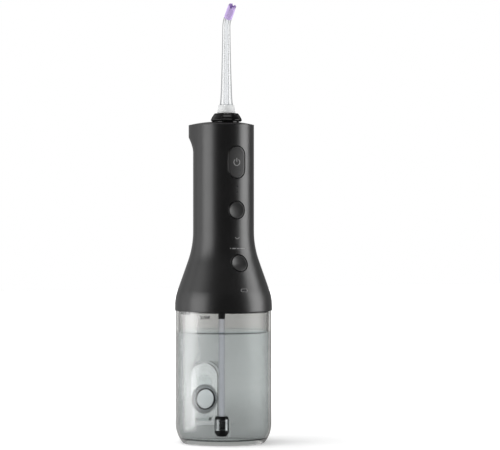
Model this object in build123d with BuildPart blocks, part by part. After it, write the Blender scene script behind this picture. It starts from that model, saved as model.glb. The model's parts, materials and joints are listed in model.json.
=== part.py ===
"""Cordless water flosser: a clear water tank under a black handle that holds a piston pump.

Millimetres. +Z is up, the origin is on the table at the tank's axis, and the buttons face -Y.
Bodies: the tank stands on the table, the handle lifts off it, and the hose and its weight hang
from the handle. The motor's pinion turns the drive gear, whose crank pin moves the piston.
"""

from build123d import *
import math
import os

os.makedirs("parts", exist_ok=True)

# ---- driving dimensions ----------------------------------------------------------------

# water tank
TANK_R = 32.5
TANK_TOP = 89.8
TANK_WALL = 1.8
TANK_CORNER_Z = 13.0
TANK_CORNER_R = 20.1
TANK_FLOOR_Z = 2.6
FOOT_DEPTH = 0.8

# recess and filling port in the back of the tank
RECESS_HALF = 10.4
RECESS_LOW = 9.2
RECESS_HIGH = 52.6
RECESS_Y = 29.0
RECESS_PAD = 2.0
PORT_Z = 27.7
PORT_R = 7.6
CAP_R = 9.4
CAP_THICK = 1.8
CAP_HINGE_Y = 30.4
CAP_HINGE_Z = 13.6
KNUCKLE_R = 1.3
PIN_R = 0.6

# handle: a wide base, a flare and a straight neck, with a finger lip at the back of the top
BASE_R = 33.0
NECK_R = 20.7
HANDLE_LOW = 90.0
HANDLE_HIGH = 216.0
FLARE_LOW = 98.6
FLARE_HIGH = 133.5
SHOULDER_R = 31.7
WAIST_R = 60.0
WALL = 1.8
LIP_REACH = 7.0
LIP_START = 197.5
LIP_FULL = 207.7
LIP_POWER = 1.6
DOME_RISE = 2.5

# plate that closes the bottom of the handle, and its spigot in the tank's mouth
PLATE_LOW = 90.2
PLATE_HIGH = 92.2
PLATE_R = 31.0
SPIGOT_R = 30.3
SPIGOT_LOW = 88.8
LUG_LOW = 87.7

# suction hose and its weight
HOSE_Y = 2.9
HOSE_R = 2.1
HOSE_BORE_R = 1.4
HOSE_HIGH = 84.0
HOSE_LOW = 17.6
WEIGHT_R = 4.9
RIM_LOW = 15.6
SLEEVE_LOW = 8.0
TAPER_TOP = 6.4
FOOT_LOW = 4.0

# nozzle and its collar
NOZZLE_Y = -4.3
COLLAR_HIGH = 223.7
COLLAR_R = 10.7
COLLAR_WIDE_Z = 219.7
COLLAR_NECK_R = 8.7
COLLAR_NECK_Z = 223.2
COLLAR_PANELS = 6
PANEL_DEPTH = 0.5
PANEL_ARC = 43.0
FIRST_PANEL = -117.0
SHANK_R = 3.3
SHANK_LOW = 201.0
STEM_LOW = 229.3
BEND_Z = 282.4
BEND_R = 8.0
BEND_ANGLE = 40.0
TIP_LENGTH = 12.0
TIP_R = 2.75

# buttons on the front
BUTTON_GAP = 0.35
POWER_Z = 190.3
POWER_WIDTH = 13.1
POWER_HEIGHT = 22.4
ROUND_R = 6.25
PRESSURE_Z = 158.1
MODE_Z = 122.5
BOARD_FRONT = -13.3
BOARD_BACK = -11.7
SWITCH_FRONT = -14.5
BUTTON_TRAVEL = 0.8

# motor, gears and pump
MOTOR_Y = 4.0
MOTOR_R = 12.2
MOTOR_LOW = 106.6
MOTOR_HIGH = 137.4
MODULE = 0.6
PINION_TEETH = 10
GEAR_TEETH = 40
GEAR_X = -9.0
GEAR_Y = -8.0
GEAR_LOW = 99.4
GEAR_HIGH = 103.4
CRANK = 1.0
CRANK_PIN_R = 1.25
PUMP_Z = 98.4
BORE_R = 4.05
PUMP_R = 5.5
CHASSIS_LOW = 104.6
CHASSIS_R = 28.0
POST_ORBIT = 25.4
POST_ANGLES = (70, 170, 295)
BOSS_ORBIT = 26.6
BOSS_ANGLES = (20, 130, 240)
TUBE_R = 2.0
TUBE_BORE_R = 1.25
BARB_R = 1.2

# battery
CELL_R = 9.0
CELL_Y = 8.8
CELL_LOW = 141.0
CELL_HIGH = 190.0

# charging port in the back of the flare
CHARGE_Z = 118.0

FLARE_SLOPE = (BASE_R - NECK_R) / (FLARE_HIGH - FLARE_LOW)
FLARE_ANGLE = math.degrees(math.atan(FLARE_SLOPE))
NOZZLE_AXIS = Axis((0, NOZZLE_Y, 0), (0, 0, 1))


# ---- helpers ---------------------------------------------------------------------------


def finish(builder, name):
    """Labels a finished piece and writes it to its own file."""
    builder.part.label = name
    export_step(builder.part, f"parts/{name}.step")


def handle_body(inset, low, high):
    """Solid of revolution inside the handle's outer surface moved inward by inset."""
    drop = inset * math.tan(math.radians(FLARE_ANGLE / 2))
    with BuildPart() as body:
        with BuildSketch(Plane.XZ):
            with BuildLine():
                wall = FilletPolyline(
                    (BASE_R - inset, low),
                    (BASE_R - inset, FLARE_LOW - drop),
                    (NECK_R - inset, FLARE_HIGH - drop),
                    (NECK_R - inset, high),
                    radius=(SHOULDER_R - inset, WAIST_R + inset),
                )
                Polyline(wall @ 1, (0, high), (0, low), wall @ 0)
            make_face()
        revolve(axis=Axis.Z)
    return body.part


def flare_plane(z, side):
    """Plane on the straight part of the flare, at the front (-1) or the back (+1), facing out."""
    radius = BASE_R - (z - FLARE_LOW) * FLARE_SLOPE
    tilt = math.radians(FLARE_ANGLE)
    outward = (0, side * math.cos(tilt), math.sin(tilt))
    return Plane(origin=(0, side * radius, z), x_dir=(1, 0, 0), z_dir=outward)


def neck_plane(z):
    """Plane on the front of the neck, facing out."""
    return Plane(origin=(0, -NECK_R, z), x_dir=(1, 0, 0), z_dir=(0, -1, 0))


def upright(z, x=0.0, y=0.0):
    """Horizontal plane through a point, facing up."""
    return Plane(origin=(x, y, z), z_dir=(0, 0, 1))


def along_x(x, y, z):
    """Plane across a run in the +X direction."""
    return Plane(origin=(x, y, z), x_dir=(0, 1, 0), z_dir=(1, 0, 0))


def along_y(x, y, z):
    """Plane across a run in the +Y direction."""
    return Plane(origin=(x, y, z), x_dir=(1, 0, 0), z_dir=(0, 1, 0))


def nozzle_section(angle=0.0):
    """Upright plane through the nozzle's axis, with its x axis turned by an angle in degrees."""
    turn = math.radians(angle)
    return Plane(
        origin=(0, NOZZLE_Y, 0),
        x_dir=(math.cos(turn), math.sin(turn), 0),
        z_dir=(math.sin(turn), -math.cos(turn), 0),
    )


def ring_points(orbit, angles):
    """Points on a circle about the handle's axis."""
    return [(orbit * math.cos(math.radians(a)), orbit * math.sin(math.radians(a))) for a in angles]


def neck_oval(radius, reach):
    """Adds to a sketch the neck's circle drawn out to the back by reach."""
    with Locations((0, reach / 2)):
        SlotCenterToCenter(reach, 2 * radius, rotation=90)


def gear_face(teeth, thin, addendum, dedendum):
    """Adds to a sketch a spur gear with involute flanks, thinned by thin at the pitch circle."""
    pitch = MODULE * teeth / 2
    base = pitch * math.cos(math.radians(20))
    root = pitch - dedendum * MODULE
    tip = pitch + addendum * MODULE
    half = math.pi / (2 * teeth) - thin / (2 * pitch)
    inv_pitch = math.tan(math.radians(20)) - math.radians(20)

    def flank_angle(radius):
        if radius <= base:
            return half + inv_pitch
        press = math.acos(base / radius)
        return half + inv_pitch - (math.tan(press) - press)

    radii = [root, max(root, base) + 0.02, pitch, tip]
    points = []
    for tooth in range(teeth):
        centre = 2 * math.pi * tooth / teeth
        rising = [(r, centre - flank_angle(r)) for r in radii]
        falling = [(r, centre + flank_angle(r)) for r in reversed(radii)]
        points += [(r * math.cos(a), r * math.sin(a)) for r, a in rising + falling]
    with BuildLine() as outline:
        Polyline(*points, close=True)
    make_face(outline.edges())


def swept_tube(points, radii, outer, bore):
    """Tube along straight runs joined by tangent arcs."""
    with BuildPart() as tube:
        with BuildLine():
            route = FilletPolyline(*points, radius=radii)
        with BuildSketch(Plane(origin=route @ 0, z_dir=route % 0)):
            Circle(outer)
            Circle(bore, mode=Mode.SUBTRACT)
        sweep(path=route)
    section = math.pi * (outer**2 - bore**2)
    print("tube volume / section * length:", round(tube.part.volume / (section * route.length), 4))
    return tube


# ---- water tank (root body) ------------------------------------------------------------


def tank_profile(inset, low):
    """Half section of the tank as a face from the axis to a wall moved inward by inset."""
    centre_r = TANK_R - TANK_CORNER_R
    corner = TANK_CORNER_R - inset
    low_r = centre_r + math.sqrt(corner**2 - (TANK_CORNER_Z - low) ** 2)
    middle = math.radians(20)
    arc_middle = (
        centre_r + corner * math.cos(middle),
        TANK_CORNER_Z - corner * math.sin(middle),
    )
    with BuildLine() as outline:
        Line((0, low), (low_r, low))
        ThreePointArc((low_r, low), arc_middle, (TANK_R - inset, TANK_CORNER_Z))
        Line((TANK_R - inset, TANK_CORNER_Z), (TANK_R - inset, TANK_TOP))
        Line((TANK_R - inset, TANK_TOP), (0, TANK_TOP))
        Line((0, TANK_TOP), (0, low))
    make_face(outline.edges())


def arch_face(half, low, high):
    """Adds to a sketch a straight-sided shape with a round top."""
    with BuildLine() as outline:
        Line((-half, low), (half, low))
        Line((half, low), (half, high - half))
        ThreePointArc((half, high - half), (0, high), (-half, high - half))
        Line((-half, high - half), (-half, low))
    make_face(outline.edges())


BACK = Plane(origin=(0, 0, 0), x_dir=(-1, 0, 0), z_dir=(0, 1, 0))
PAD_Y = RECESS_Y - RECESS_PAD

with BuildPart() as tank_outside:
    with BuildSketch(Plane.XZ):
        tank_profile(0, 0)
    revolve(axis=Axis.Z)

with BuildPart() as tank_inside:
    with BuildSketch(Plane.XZ):
        tank_profile(TANK_WALL, TANK_FLOOR_Z)
    revolve(axis=Axis.Z)
    # the wall stands proud on the inside behind the recess
    with BuildSketch(BACK.offset(PAD_Y)):
        arch_face(RECESS_HALF + 1.6, 0, RECESS_HIGH + 1.6)
    extrude(amount=TANK_R, mode=Mode.SUBTRACT)

with BuildPart() as reservoir:
    add(tank_outside.part)
    # foot ring round a slightly hollow underside
    with BuildSketch(Plane.XY):
        Circle(23.5)
    extrude(amount=FOOT_DEPTH, mode=Mode.SUBTRACT)
    foot_rims = reservoir.edges().filter_by(GeomType.CIRCLE).group_by(Axis.Z)[0]
    fillet(foot_rims.sort_by(SortBy.RADIUS)[-1:], 0.9)
    add(tank_inside.part, mode=Mode.SUBTRACT)
    with BuildSketch(BACK.offset(RECESS_Y)):
        arch_face(RECESS_HALF, RECESS_LOW, RECESS_HIGH)
    extrude(amount=TANK_R, mode=Mode.SUBTRACT)
    with BuildSketch(BACK.offset(PAD_Y - 1)):
        with Locations((0, PORT_Z)):
            Circle(PORT_R)
    extrude(amount=10, mode=Mode.SUBTRACT)
    # two ears for the cap's hinge pin
    for side in (-1, 1):
        with BuildSketch(Plane(origin=(side * 5.3 - 1, 0, 0), x_dir=(0, 1, 0), z_dir=(1, 0, 0))):
            with Locations((CAP_HINGE_Y, CAP_HINGE_Z)):
                Circle(KNUCKLE_R)
            with Locations(((RECESS_Y + CAP_HINGE_Y) / 2 - 0.2, CAP_HINGE_Z)):
                Rectangle(CAP_HINGE_Y - RECESS_Y + 0.4, 2 * KNUCKLE_R)
            with Locations((CAP_HINGE_Y, CAP_HINGE_Z)):
                Circle(PIN_R, mode=Mode.SUBTRACT)
        extrude(amount=2)
finish(reservoir, "reservoir")

with BuildPart() as fill_cap:
    with BuildSketch(BACK.offset(RECESS_Y + 0.2)):
        with Locations((0, PORT_Z)):
            Circle(CAP_R)
        with Locations((0, PORT_Z + 6)):
            Rectangle(11, 10)
        with Locations((0, PORT_Z + 11)):
            Circle(5.5)
        with Locations((0, (PORT_Z + CAP_HINGE_Z) / 2 - 0.5)):
            Rectangle(8, PORT_Z - CAP_HINGE_Z - 1)
    extrude(amount=CAP_THICK)
    with BuildSketch(along_x(-4, 0, 0)):
        with Locations((CAP_HINGE_Y, CAP_HINGE_Z)):
            Circle(KNUCKLE_R - 0.1)
    extrude(amount=8)
    # plug with a groove for its seal
    with BuildSketch(BACK.offset(RECESS_Y - 2.2)):
        with Locations((0, PORT_Z)):
            Circle(PORT_R - 0.5)
    extrude(amount=2.5)
    with BuildSketch(BACK.offset(RECESS_Y - 1.1)):
        with Locations((0, PORT_Z)):
            Circle(PORT_R)
            Circle(PORT_R - 1.0, mode=Mode.SUBTRACT)
    extrude(amount=0.8, mode=Mode.SUBTRACT)
    # raised rim round a sunk disc on the outside
    with BuildSketch(BACK.offset(RECESS_Y + 0.2 + CAP_THICK)):
        with Locations((0, PORT_Z)):
            Circle(CAP_R - 1.8)
    extrude(amount=-0.7, mode=Mode.SUBTRACT)
    with BuildSketch(along_x(-10, 0, 0)):
        with Locations((CAP_HINGE_Y, CAP_HINGE_Z)):
            Circle(PIN_R + 0.05)
    extrude(amount=20, mode=Mode.SUBTRACT)
finish(fill_cap, "fill_cap")

with BuildPart() as fill_cap_seal:
    with BuildSketch(BACK.offset(RECESS_Y - 1.1)):
        with Locations((0, PORT_Z)):
            Circle(PORT_R - 0.1)
            Circle(PORT_R - 1.0, mode=Mode.SUBTRACT)
    extrude(amount=0.8)
finish(fill_cap_seal, "fill_cap_seal")

with BuildPart() as fill_cap_pin:
    with BuildSketch(along_x(-6.3, CAP_HINGE_Y, CAP_HINGE_Z)):
        Circle(PIN_R)
    extrude(amount=12.6)
finish(fill_cap_pin, "fill_cap_pin")


# ---- handle housing --------------------------------------------------------------------


def button_hole(width, height, depth, plane):
    """Opening for a button through the wall in front of plane."""
    with BuildSketch(plane.offset(-depth)) as outline:
        if height > width:
            SlotOverall(height, width, rotation=90)
        else:
            Circle(width / 2)
    extrude(outline.sketch, amount=depth + 4, mode=Mode.SUBTRACT)


def charge_outline(gap):
    """Adds to a sketch the charging cover's outline, grown by gap: a rounded flap on a tab."""
    RectangleRounded(13.4 + 2 * gap, 6.4 + 2 * gap, 2.2)
    with Locations((0, -3.7)):
        Rectangle(5.0 + 2 * gap, 2.0 + 2 * gap)


POWER_PLANE = neck_plane(POWER_Z)
PRESSURE_PLANE = neck_plane(PRESSURE_Z)
MODE_PLANE = flare_plane(MODE_Z, -1)
CHARGE_PLANE = flare_plane(CHARGE_Z, 1)
BATTERY_LIGHT_PLANE = flare_plane(104.4, -1)
LIGHT_HEIGHTS = (173.9, 170.2)
# the charging cover's sketch has its y axis up the flare, so it is turned to face out
CHARGE_UP = Plane(
    origin=CHARGE_PLANE.origin,
    x_dir=(-1, 0, 0),
    z_dir=CHARGE_PLANE.z_dir,
)

with BuildPart() as charge_pocket:
    with BuildSketch(CHARGE_UP.offset(-6)):
        charge_outline(0.3)
    extrude(amount=12)
    add(handle_body(1.25, HANDLE_LOW, HANDLE_HIGH), mode=Mode.SUBTRACT)

with BuildPart() as handle_housing:
    add(handle_body(0, HANDLE_LOW, LIP_START))
    # the back of the neck runs out into the finger lip
    for step in range(7):
        share = step / 6
        reach = max(0.03, LIP_REACH * share**LIP_POWER)
        with BuildSketch(Plane.XY.offset(LIP_START + share * (LIP_FULL - LIP_START))):
            neck_oval(NECK_R, reach)
    loft()
    with BuildSketch(Plane.XY.offset(LIP_FULL)):
        neck_oval(NECK_R, LIP_REACH)
    extrude(amount=HANDLE_HIGH - LIP_FULL)
    add(handle_body(WALL, HANDLE_LOW - 1, HANDLE_HIGH + 1), mode=Mode.SUBTRACT)
    with BuildSketch(Plane.XY.offset(LIP_FULL + 2)):
        neck_oval(NECK_R - WALL, LIP_REACH)
    extrude(amount=HANDLE_HIGH - LIP_FULL, mode=Mode.SUBTRACT)
    button_hole(POWER_WIDTH, POWER_HEIGHT, 6, POWER_PLANE)
    button_hole(2 * ROUND_R, 0, 6, PRESSURE_PLANE)
    button_hole(2 * ROUND_R, 0, 6, MODE_PLANE)
    for height in LIGHT_HEIGHTS:
        with BuildSketch(neck_plane(height).offset(-4)):
            Circle(0.8)
        extrude(amount=6, mode=Mode.SUBTRACT)
    with BuildSketch(BATTERY_LIGHT_PLANE.offset(-4)):
        SlotOverall(5.0, 2.3)
    extrude(amount=6, mode=Mode.SUBTRACT)
    add(charge_pocket.part, mode=Mode.SUBTRACT)
    with BuildSketch(CHARGE_UP.offset(-4)):
        SlotOverall(9.4, 3.7)
    extrude(amount=6, mode=Mode.SUBTRACT)
    # screw bosses inside the base, joined to the wall by webs
    for angle in BOSS_ANGLES:
        with BuildSketch(Plane.XY.offset(PLATE_HIGH)):
            with PolarLocations(BOSS_ORBIT, 1, start_angle=angle):
                Circle(2.4)
                with Locations((2.6, 0)):
                    Rectangle(4.4, 1.6)
            with PolarLocations(BOSS_ORBIT, 1, start_angle=angle):
                Circle(1.0, mode=Mode.SUBTRACT)
        extrude(amount=6.3)
finish(handle_housing, "handle_housing")

with BuildPart() as top_cover:
    dome_r = (NECK_R**2 + DOME_RISE**2) / (2 * DOME_RISE)
    with BuildSketch(Plane.XZ) as dome_section:
        with BuildLine():
            ThreePointArc(
                (NECK_R, HANDLE_HIGH + 0.02),
                (
                    NECK_R / 2,
                    HANDLE_HIGH + DOME_RISE - dome_r + math.sqrt(dome_r**2 - (NECK_R / 2) ** 2),
                ),
                (0, HANDLE_HIGH + DOME_RISE),
            )
            Line((0, HANDLE_HIGH + DOME_RISE), (0, HANDLE_HIGH))
            Line((0, HANDLE_HIGH), (NECK_R, HANDLE_HIGH))
            Line((NECK_R, HANDLE_HIGH), (NECK_R, HANDLE_HIGH + 0.02))
        make_face()
    revolve(axis=Axis.Z)
    with BuildSketch(Plane.XZ):
        add(dome_section.sketch)
        mirror(dome_section.sketch, Plane.YZ)
    extrude(amount=-LIP_REACH)
    with BuildSketch(Plane.XZ.offset(-LIP_REACH)):
        add(dome_section.sketch)
    revolve(axis=Axis((0, LIP_REACH, 0), (0, 0, 1)))
    # snap skirt inside the housing
    with BuildSketch(Plane.XY.offset(HANDLE_HIGH - 4)):
        neck_oval(NECK_R - WALL - 0.15, LIP_REACH)
        with Locations((0, LIP_REACH / 2)):
            SlotCenterToCenter(LIP_REACH, 2 * (NECK_R - WALL - 1.6), 90, mode=Mode.SUBTRACT)
    extrude(amount=4)
    # wall that centres the nozzle socket, and the collar's bore
    with BuildSketch(upright(HANDLE_HIGH - 4.6, 0, NOZZLE_Y)):
        Circle(11.6)
        Circle(10.2, mode=Mode.SUBTRACT)
    extrude(amount=4.6)
    with BuildSketch(upright(HANDLE_HIGH - 1.6, 0, NOZZLE_Y)):
        Circle(11.6)
    extrude(amount=1.6)
    with BuildSketch(upright(HANDLE_HIGH - 6, 0, NOZZLE_Y)):
        Circle(8.65)
    extrude(amount=12, mode=Mode.SUBTRACT)
finish(top_cover, "top_cover")


# ---- bottom plate, its seal and its screws ---------------------------------------------

with BuildPart() as base_plate:
    with BuildSketch(Plane.XY.offset(PLATE_LOW)):
        Circle(PLATE_R)
    extrude(amount=PLATE_HIGH - PLATE_LOW)
    with BuildSketch(Plane.XY.offset(SPIGOT_LOW)):
        Circle(SPIGOT_R)
        Circle(SPIGOT_R - 1.3, mode=Mode.SUBTRACT)
    extrude(amount=PLATE_LOW - SPIGOT_LOW)
    # lugs that clip into the tank's mouth
    for side in (-1, 1):
        with BuildSketch(Plane.XY.offset(LUG_LOW)):
            Circle(SPIGOT_R)
            Circle(SPIGOT_R - 2.2, mode=Mode.SUBTRACT)
            with Locations((side * SPIGOT_R, 0)):
                Rectangle(12, 11, mode=Mode.INTERSECT)
        extrude(amount=PLATE_LOW - LUG_LOW)
    with BuildSketch(Plane.XY.offset(SPIGOT_LOW + 0.35)):
        Circle(SPIGOT_R + 1)
        Circle(SPIGOT_R - 0.6, mode=Mode.SUBTRACT)
    extrude(amount=0.8, mode=Mode.SUBTRACT)
    with BuildSketch(Plane.XY.offset(PLATE_HIGH)):
        with Locations(*ring_points(POST_ORBIT, POST_ANGLES)):
            Circle(2.6)
            Circle(0.9, mode=Mode.SUBTRACT)
    extrude(amount=CHASSIS_LOW - PLATE_HIGH)
    with BuildSketch(Plane.XY.offset(PLATE_LOW)):
        with Locations(*ring_points(BOSS_ORBIT, BOSS_ANGLES)):
            Circle(1.05)
        with Locations((0, HOSE_Y)):
            Circle(2.0)
    extrude(amount=PLATE_HIGH - PLATE_LOW, mode=Mode.SUBTRACT)
    with BuildSketch(Plane.XY.offset(PLATE_LOW)):
        with Locations(*ring_points(BOSS_ORBIT, BOSS_ANGLES)):
            Circle(2.0)
    extrude(amount=1.0, mode=Mode.SUBTRACT)
finish(base_plate, "base_plate")

with BuildPart() as base_seal:
    with BuildSketch(Plane.XY.offset(SPIGOT_LOW + 0.35)):
        Circle(SPIGOT_R + 0.25)
        Circle(SPIGOT_R - 0.6, mode=Mode.SUBTRACT)
    extrude(amount=0.8)
finish(base_seal, "base_seal")


def pan_screws(points, head_low, head_high, shank_r, shank_low, shank_high, slot_from):
    """Adds a screw at each point: a round head with a cross slot, and a plain shank."""
    with BuildSketch(Plane.XY.offset(head_low)) as heads:
        with Locations(*points):
            Circle(1.9)
    extrude(heads.sketch, amount=head_high - head_low)
    with BuildSketch(Plane.XY.offset(shank_low)) as shanks:
        with Locations(*points):
            Circle(shank_r)
    extrude(shanks.sketch, amount=shank_high - shank_low)
    with BuildSketch(Plane.XY.offset(slot_from)) as slots:
        with Locations(*points):
            Rectangle(2.4, 0.5)
            Rectangle(0.5, 2.4)
    extrude(slots.sketch, amount=0.5, mode=Mode.SUBTRACT)


with BuildPart() as base_screws:
    pan_screws(ring_points(BOSS_ORBIT, BOSS_ANGLES), 90.25, 91.2, 0.95, 91.2, 97.5, 90.25)
finish(base_screws, "base_screws")

with BuildPart() as chassis_screws:
    pan_screws(ring_points(POST_ORBIT, POST_ANGLES), 106.6, 107.7, 0.85, 98.0, 106.6, 107.2)
finish(chassis_screws, "chassis_screws")


# ---- hose connector, suction hose and weight -------------------------------------------

INLET_Z = 96.4

with BuildPart() as hose_connector:
    with BuildSketch(upright(HOSE_HIGH, 0, HOSE_Y)):
        Circle(2.35)
    extrude(amount=3.6)
    with BuildSketch(upright(HOSE_HIGH + 3.6, 0, HOSE_Y)):
        Circle(3.0)
    extrude(amount=PLATE_LOW - HOSE_HIGH - 3.6)
    with BuildSketch(upright(PLATE_LOW, 0, HOSE_Y)):
        Circle(1.95)
    extrude(amount=INLET_Z + 1.9 - PLATE_LOW)
    with BuildSketch(along_x(0, HOSE_Y, INLET_Z)):
        Circle(1.8)
    extrude(amount=4.5)
    with BuildSketch(along_x(4.5, HOSE_Y, INLET_Z)):
        Circle(BARB_R)
    extrude(amount=2.5)
    with BuildSketch(upright(HOSE_HIGH, 0, HOSE_Y)):
        Circle(0.9)
    extrude(amount=INLET_Z - HOSE_HIGH, mode=Mode.SUBTRACT)
    with BuildSketch(along_x(0, HOSE_Y, INLET_Z)):
        Circle(0.8)
    extrude(amount=7, mode=Mode.SUBTRACT)
finish(hose_connector, "hose_connector")

with BuildPart() as suction_hose:
    # the top end is round about the point where the hose swings
    with BuildSketch(upright(HOSE_LOW, 0, HOSE_Y)):
        Circle(HOSE_R)
    extrude(amount=HOSE_HIGH - HOSE_R - HOSE_LOW)
    with Locations((0, HOSE_Y, HOSE_HIGH - HOSE_R)):
        Sphere(HOSE_R)
    with BuildSketch(upright(HOSE_LOW, 0, HOSE_Y)):
        Circle(HOSE_BORE_R)
    extrude(amount=HOSE_HIGH - HOSE_LOW, mode=Mode.SUBTRACT)
finish(suction_hose, "suction_hose")


def weight_ring(low, high, outer, inner):
    """Adds a ring on the hose's axis."""
    with BuildSketch(upright(low, 0, HOSE_Y)) as outline:
        Circle(outer)
        Circle(inner, mode=Mode.SUBTRACT)
    extrude(outline.sketch, amount=high - low)


with BuildPart() as pickup_rim:
    weight_ring(RIM_LOW, HOSE_LOW, WEIGHT_R - 0.3, 1.2)
    top_rims = pickup_rim.edges().filter_by(GeomType.CIRCLE).group_by(Axis.Z)[-1]
    chamfer(top_rims.sort_by(SortBy.RADIUS)[-1:], 0.7)
finish(pickup_rim, "pickup_rim")

with BuildPart() as pickup_sleeve:
    weight_ring(SLEEVE_LOW, RIM_LOW, WEIGHT_R, 3.2)
finish(pickup_sleeve, "pickup_sleeve")

with BuildPart() as pickup_foot:
    # the core inside the sleeve, and the tapering rubber end below it
    weight_ring(SLEEVE_LOW, RIM_LOW, 3.2, 1.2)
    with BuildSketch(upright(TAPER_TOP, 0, HOSE_Y)):
        Circle(WEIGHT_R)
    extrude(amount=SLEEVE_LOW - TAPER_TOP)
    with BuildSketch(upright(TAPER_TOP, 0, HOSE_Y)):
        Circle(WEIGHT_R)
    with BuildSketch(upright(FOOT_LOW, 0, HOSE_Y)):
        Circle(3.2)
    loft()
    with BuildSketch(upright(FOOT_LOW, 0, HOSE_Y)):
        Circle(2.4)
    extrude(amount=2.8, mode=Mode.SUBTRACT)
    with BuildSketch(upright(TAPER_TOP, 0, HOSE_Y)):
        Circle(1.2)
    extrude(amount=4, mode=Mode.SUBTRACT)
finish(pickup_foot, "pickup_foot")

with BuildPart() as pickup_filter:
    weight_ring(FOOT_LOW + 0.4, FOOT_LOW + 1.0, 2.4, 0.4)
finish(pickup_filter, "pickup_filter")


# ---- pump ------------------------------------------------------------------------------

VALVE_X = 22.5

with BuildPart() as pump_body:
    with BuildSketch(along_x(4.4, GEAR_Y, PUMP_Z)):
        Circle(PUMP_R)
    extrude(amount=15.6)
    with BuildSketch(along_x(20.0, GEAR_Y, PUMP_Z)):
        Rectangle(2 * PUMP_R, 2 * PUMP_R)
    extrude(amount=5.0)
    # feet that stand on the bottom plate
    with BuildSketch(upright(PLATE_HIGH, 12, GEAR_Y)):
        with Locations((-4, 0), (6, 0)):
            Rectangle(2, 9)
    extrude(amount=PUMP_Z - PLATE_HIGH - 3)
    with BuildSketch(along_x(4.4, GEAR_Y, PUMP_Z)):
        Circle(BORE_R)
    extrude(amount=13.6, mode=Mode.SUBTRACT)
    for rise in (-2.0, 2.0):
        with BuildSketch(along_x(18.0, GEAR_Y, PUMP_Z + rise)):
            Circle(0.9)
        extrude(amount=4.5, mode=Mode.SUBTRACT)
    # pockets of the two valves: the inlet's in the bore's end, the outlet's under the fitting
    with BuildSketch(along_x(18.0, GEAR_Y, PUMP_Z - 2.0)):
        Circle(1.8)
    extrude(amount=1.2, mode=Mode.SUBTRACT)
    with BuildSketch(upright(PUMP_Z + PUMP_R - 1.6, VALVE_X, GEAR_Y)):
        Circle(2.0)
    extrude(amount=1.6, mode=Mode.SUBTRACT)
    with BuildSketch(upright(PUMP_Z + 1.2, VALVE_X, GEAR_Y)):
        Circle(0.9)
    extrude(amount=4, mode=Mode.SUBTRACT)
    # inlet spout on the side
    with BuildSketch(along_y(VALVE_X, GEAR_Y + PUMP_R, INLET_Z)):
        Circle(BARB_R)
    extrude(amount=2.0)
    with BuildSketch(along_y(VALVE_X, GEAR_Y, INLET_Z)):
        Circle(0.8)
    extrude(amount=PUMP_R + 2.0, mode=Mode.SUBTRACT)
finish(pump_body, "pump_body")

with BuildPart() as inlet_valve:
    with BuildSketch(along_x(18.3, GEAR_Y, PUMP_Z - 2.0)):
        Circle(1.7)
        Circle(0.35, mode=Mode.SUBTRACT)
    extrude(amount=0.6)
finish(inlet_valve, "inlet_valve")

with BuildPart() as outlet_valve:
    with BuildSketch(upright(PUMP_Z + PUMP_R - 1.3, VALVE_X, GEAR_Y)):
        Circle(1.85)
        Circle(0.35, mode=Mode.SUBTRACT)
    extrude(amount=0.6)
finish(outlet_valve, "outlet_valve")

OUTLET_LOW = PUMP_Z + PUMP_R

with BuildPart() as outlet_fitting:
    with BuildSketch(upright(OUTLET_LOW, VALVE_X, GEAR_Y)):
        Circle(2.8)
    extrude(amount=1.4)
    with BuildSketch(upright(OUTLET_LOW + 1.4, VALVE_X, GEAR_Y)):
        Circle(BARB_R)
    extrude(amount=3.0)
    with BuildSketch(upright(OUTLET_LOW, VALVE_X, GEAR_Y)):
        Circle(0.8)
    extrude(amount=5, mode=Mode.SUBTRACT)
finish(outlet_fitting, "outlet_fitting")

inlet_tube = swept_tube(
    [
        (4.5, HOSE_Y, INLET_Z),
        (13.5, HOSE_Y, INLET_Z),
        (VALVE_X, 5.8, INLET_Z),
        (VALVE_X, GEAR_Y + PUMP_R, INLET_Z),
    ],
    [12.0, 3.2],
    TUBE_R,
    TUBE_BORE_R,
)
finish(inlet_tube, "inlet_tube")

SOCKET_LOW = 196.5
BARB_Z = 198.6

pressure_hose = swept_tube(
    [
        (VALVE_X, GEAR_Y, OUTLET_LOW + 1.4),
        (VALVE_X, GEAR_Y, 112.5),
        (15.0, NOZZLE_Y, 127.5),
        (15.0, NOZZLE_Y, BARB_Z),
        (8.4, NOZZLE_Y, BARB_Z),
    ],
    [12.0, 25.0, 4.0],
    TUBE_R,
    TUBE_BORE_R,
)
finish(pressure_hose, "pressure_hose")

with BuildPart() as piston:
    # yoke with a slot for the crank pin, a rod, and the piston head
    with BuildSketch(upright(95.0, GEAR_X, GEAR_Y)):
        RectangleRounded(13.0, 11.0, 1.5)
        RectangleRounded(
            2 * (CRANK_PIN_R + 2 * CRANK + 0.15),
            2 * (CRANK_PIN_R + CRANK + 0.15),
            0.8,
            mode=Mode.SUBTRACT,
        )
    extrude(amount=3.2)
    with BuildSketch(along_x(GEAR_X + 6.0, GEAR_Y, 96.6)):
        Circle(1.4)
    extrude(amount=10)
    with BuildSketch(along_x(5.5, GEAR_Y, PUMP_Z)):
        Circle(BORE_R - 0.2)
    extrude(amount=5.5)
    with BuildSketch(along_x(7.6, GEAR_Y, PUMP_Z)):
        Circle(BORE_R)
        Circle(BORE_R - 0.9, mode=Mode.SUBTRACT)
    extrude(amount=1.8, mode=Mode.SUBTRACT)
finish(piston, "piston")

with BuildPart() as piston_seal:
    with BuildSketch(along_x(7.6, GEAR_Y, PUMP_Z)):
        Circle(BORE_R - 0.03)
        Circle(BORE_R - 0.9, mode=Mode.SUBTRACT)
    extrude(amount=1.8)
finish(piston_seal, "piston_seal")


# ---- gears, motor and chassis ----------------------------------------------------------

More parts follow.
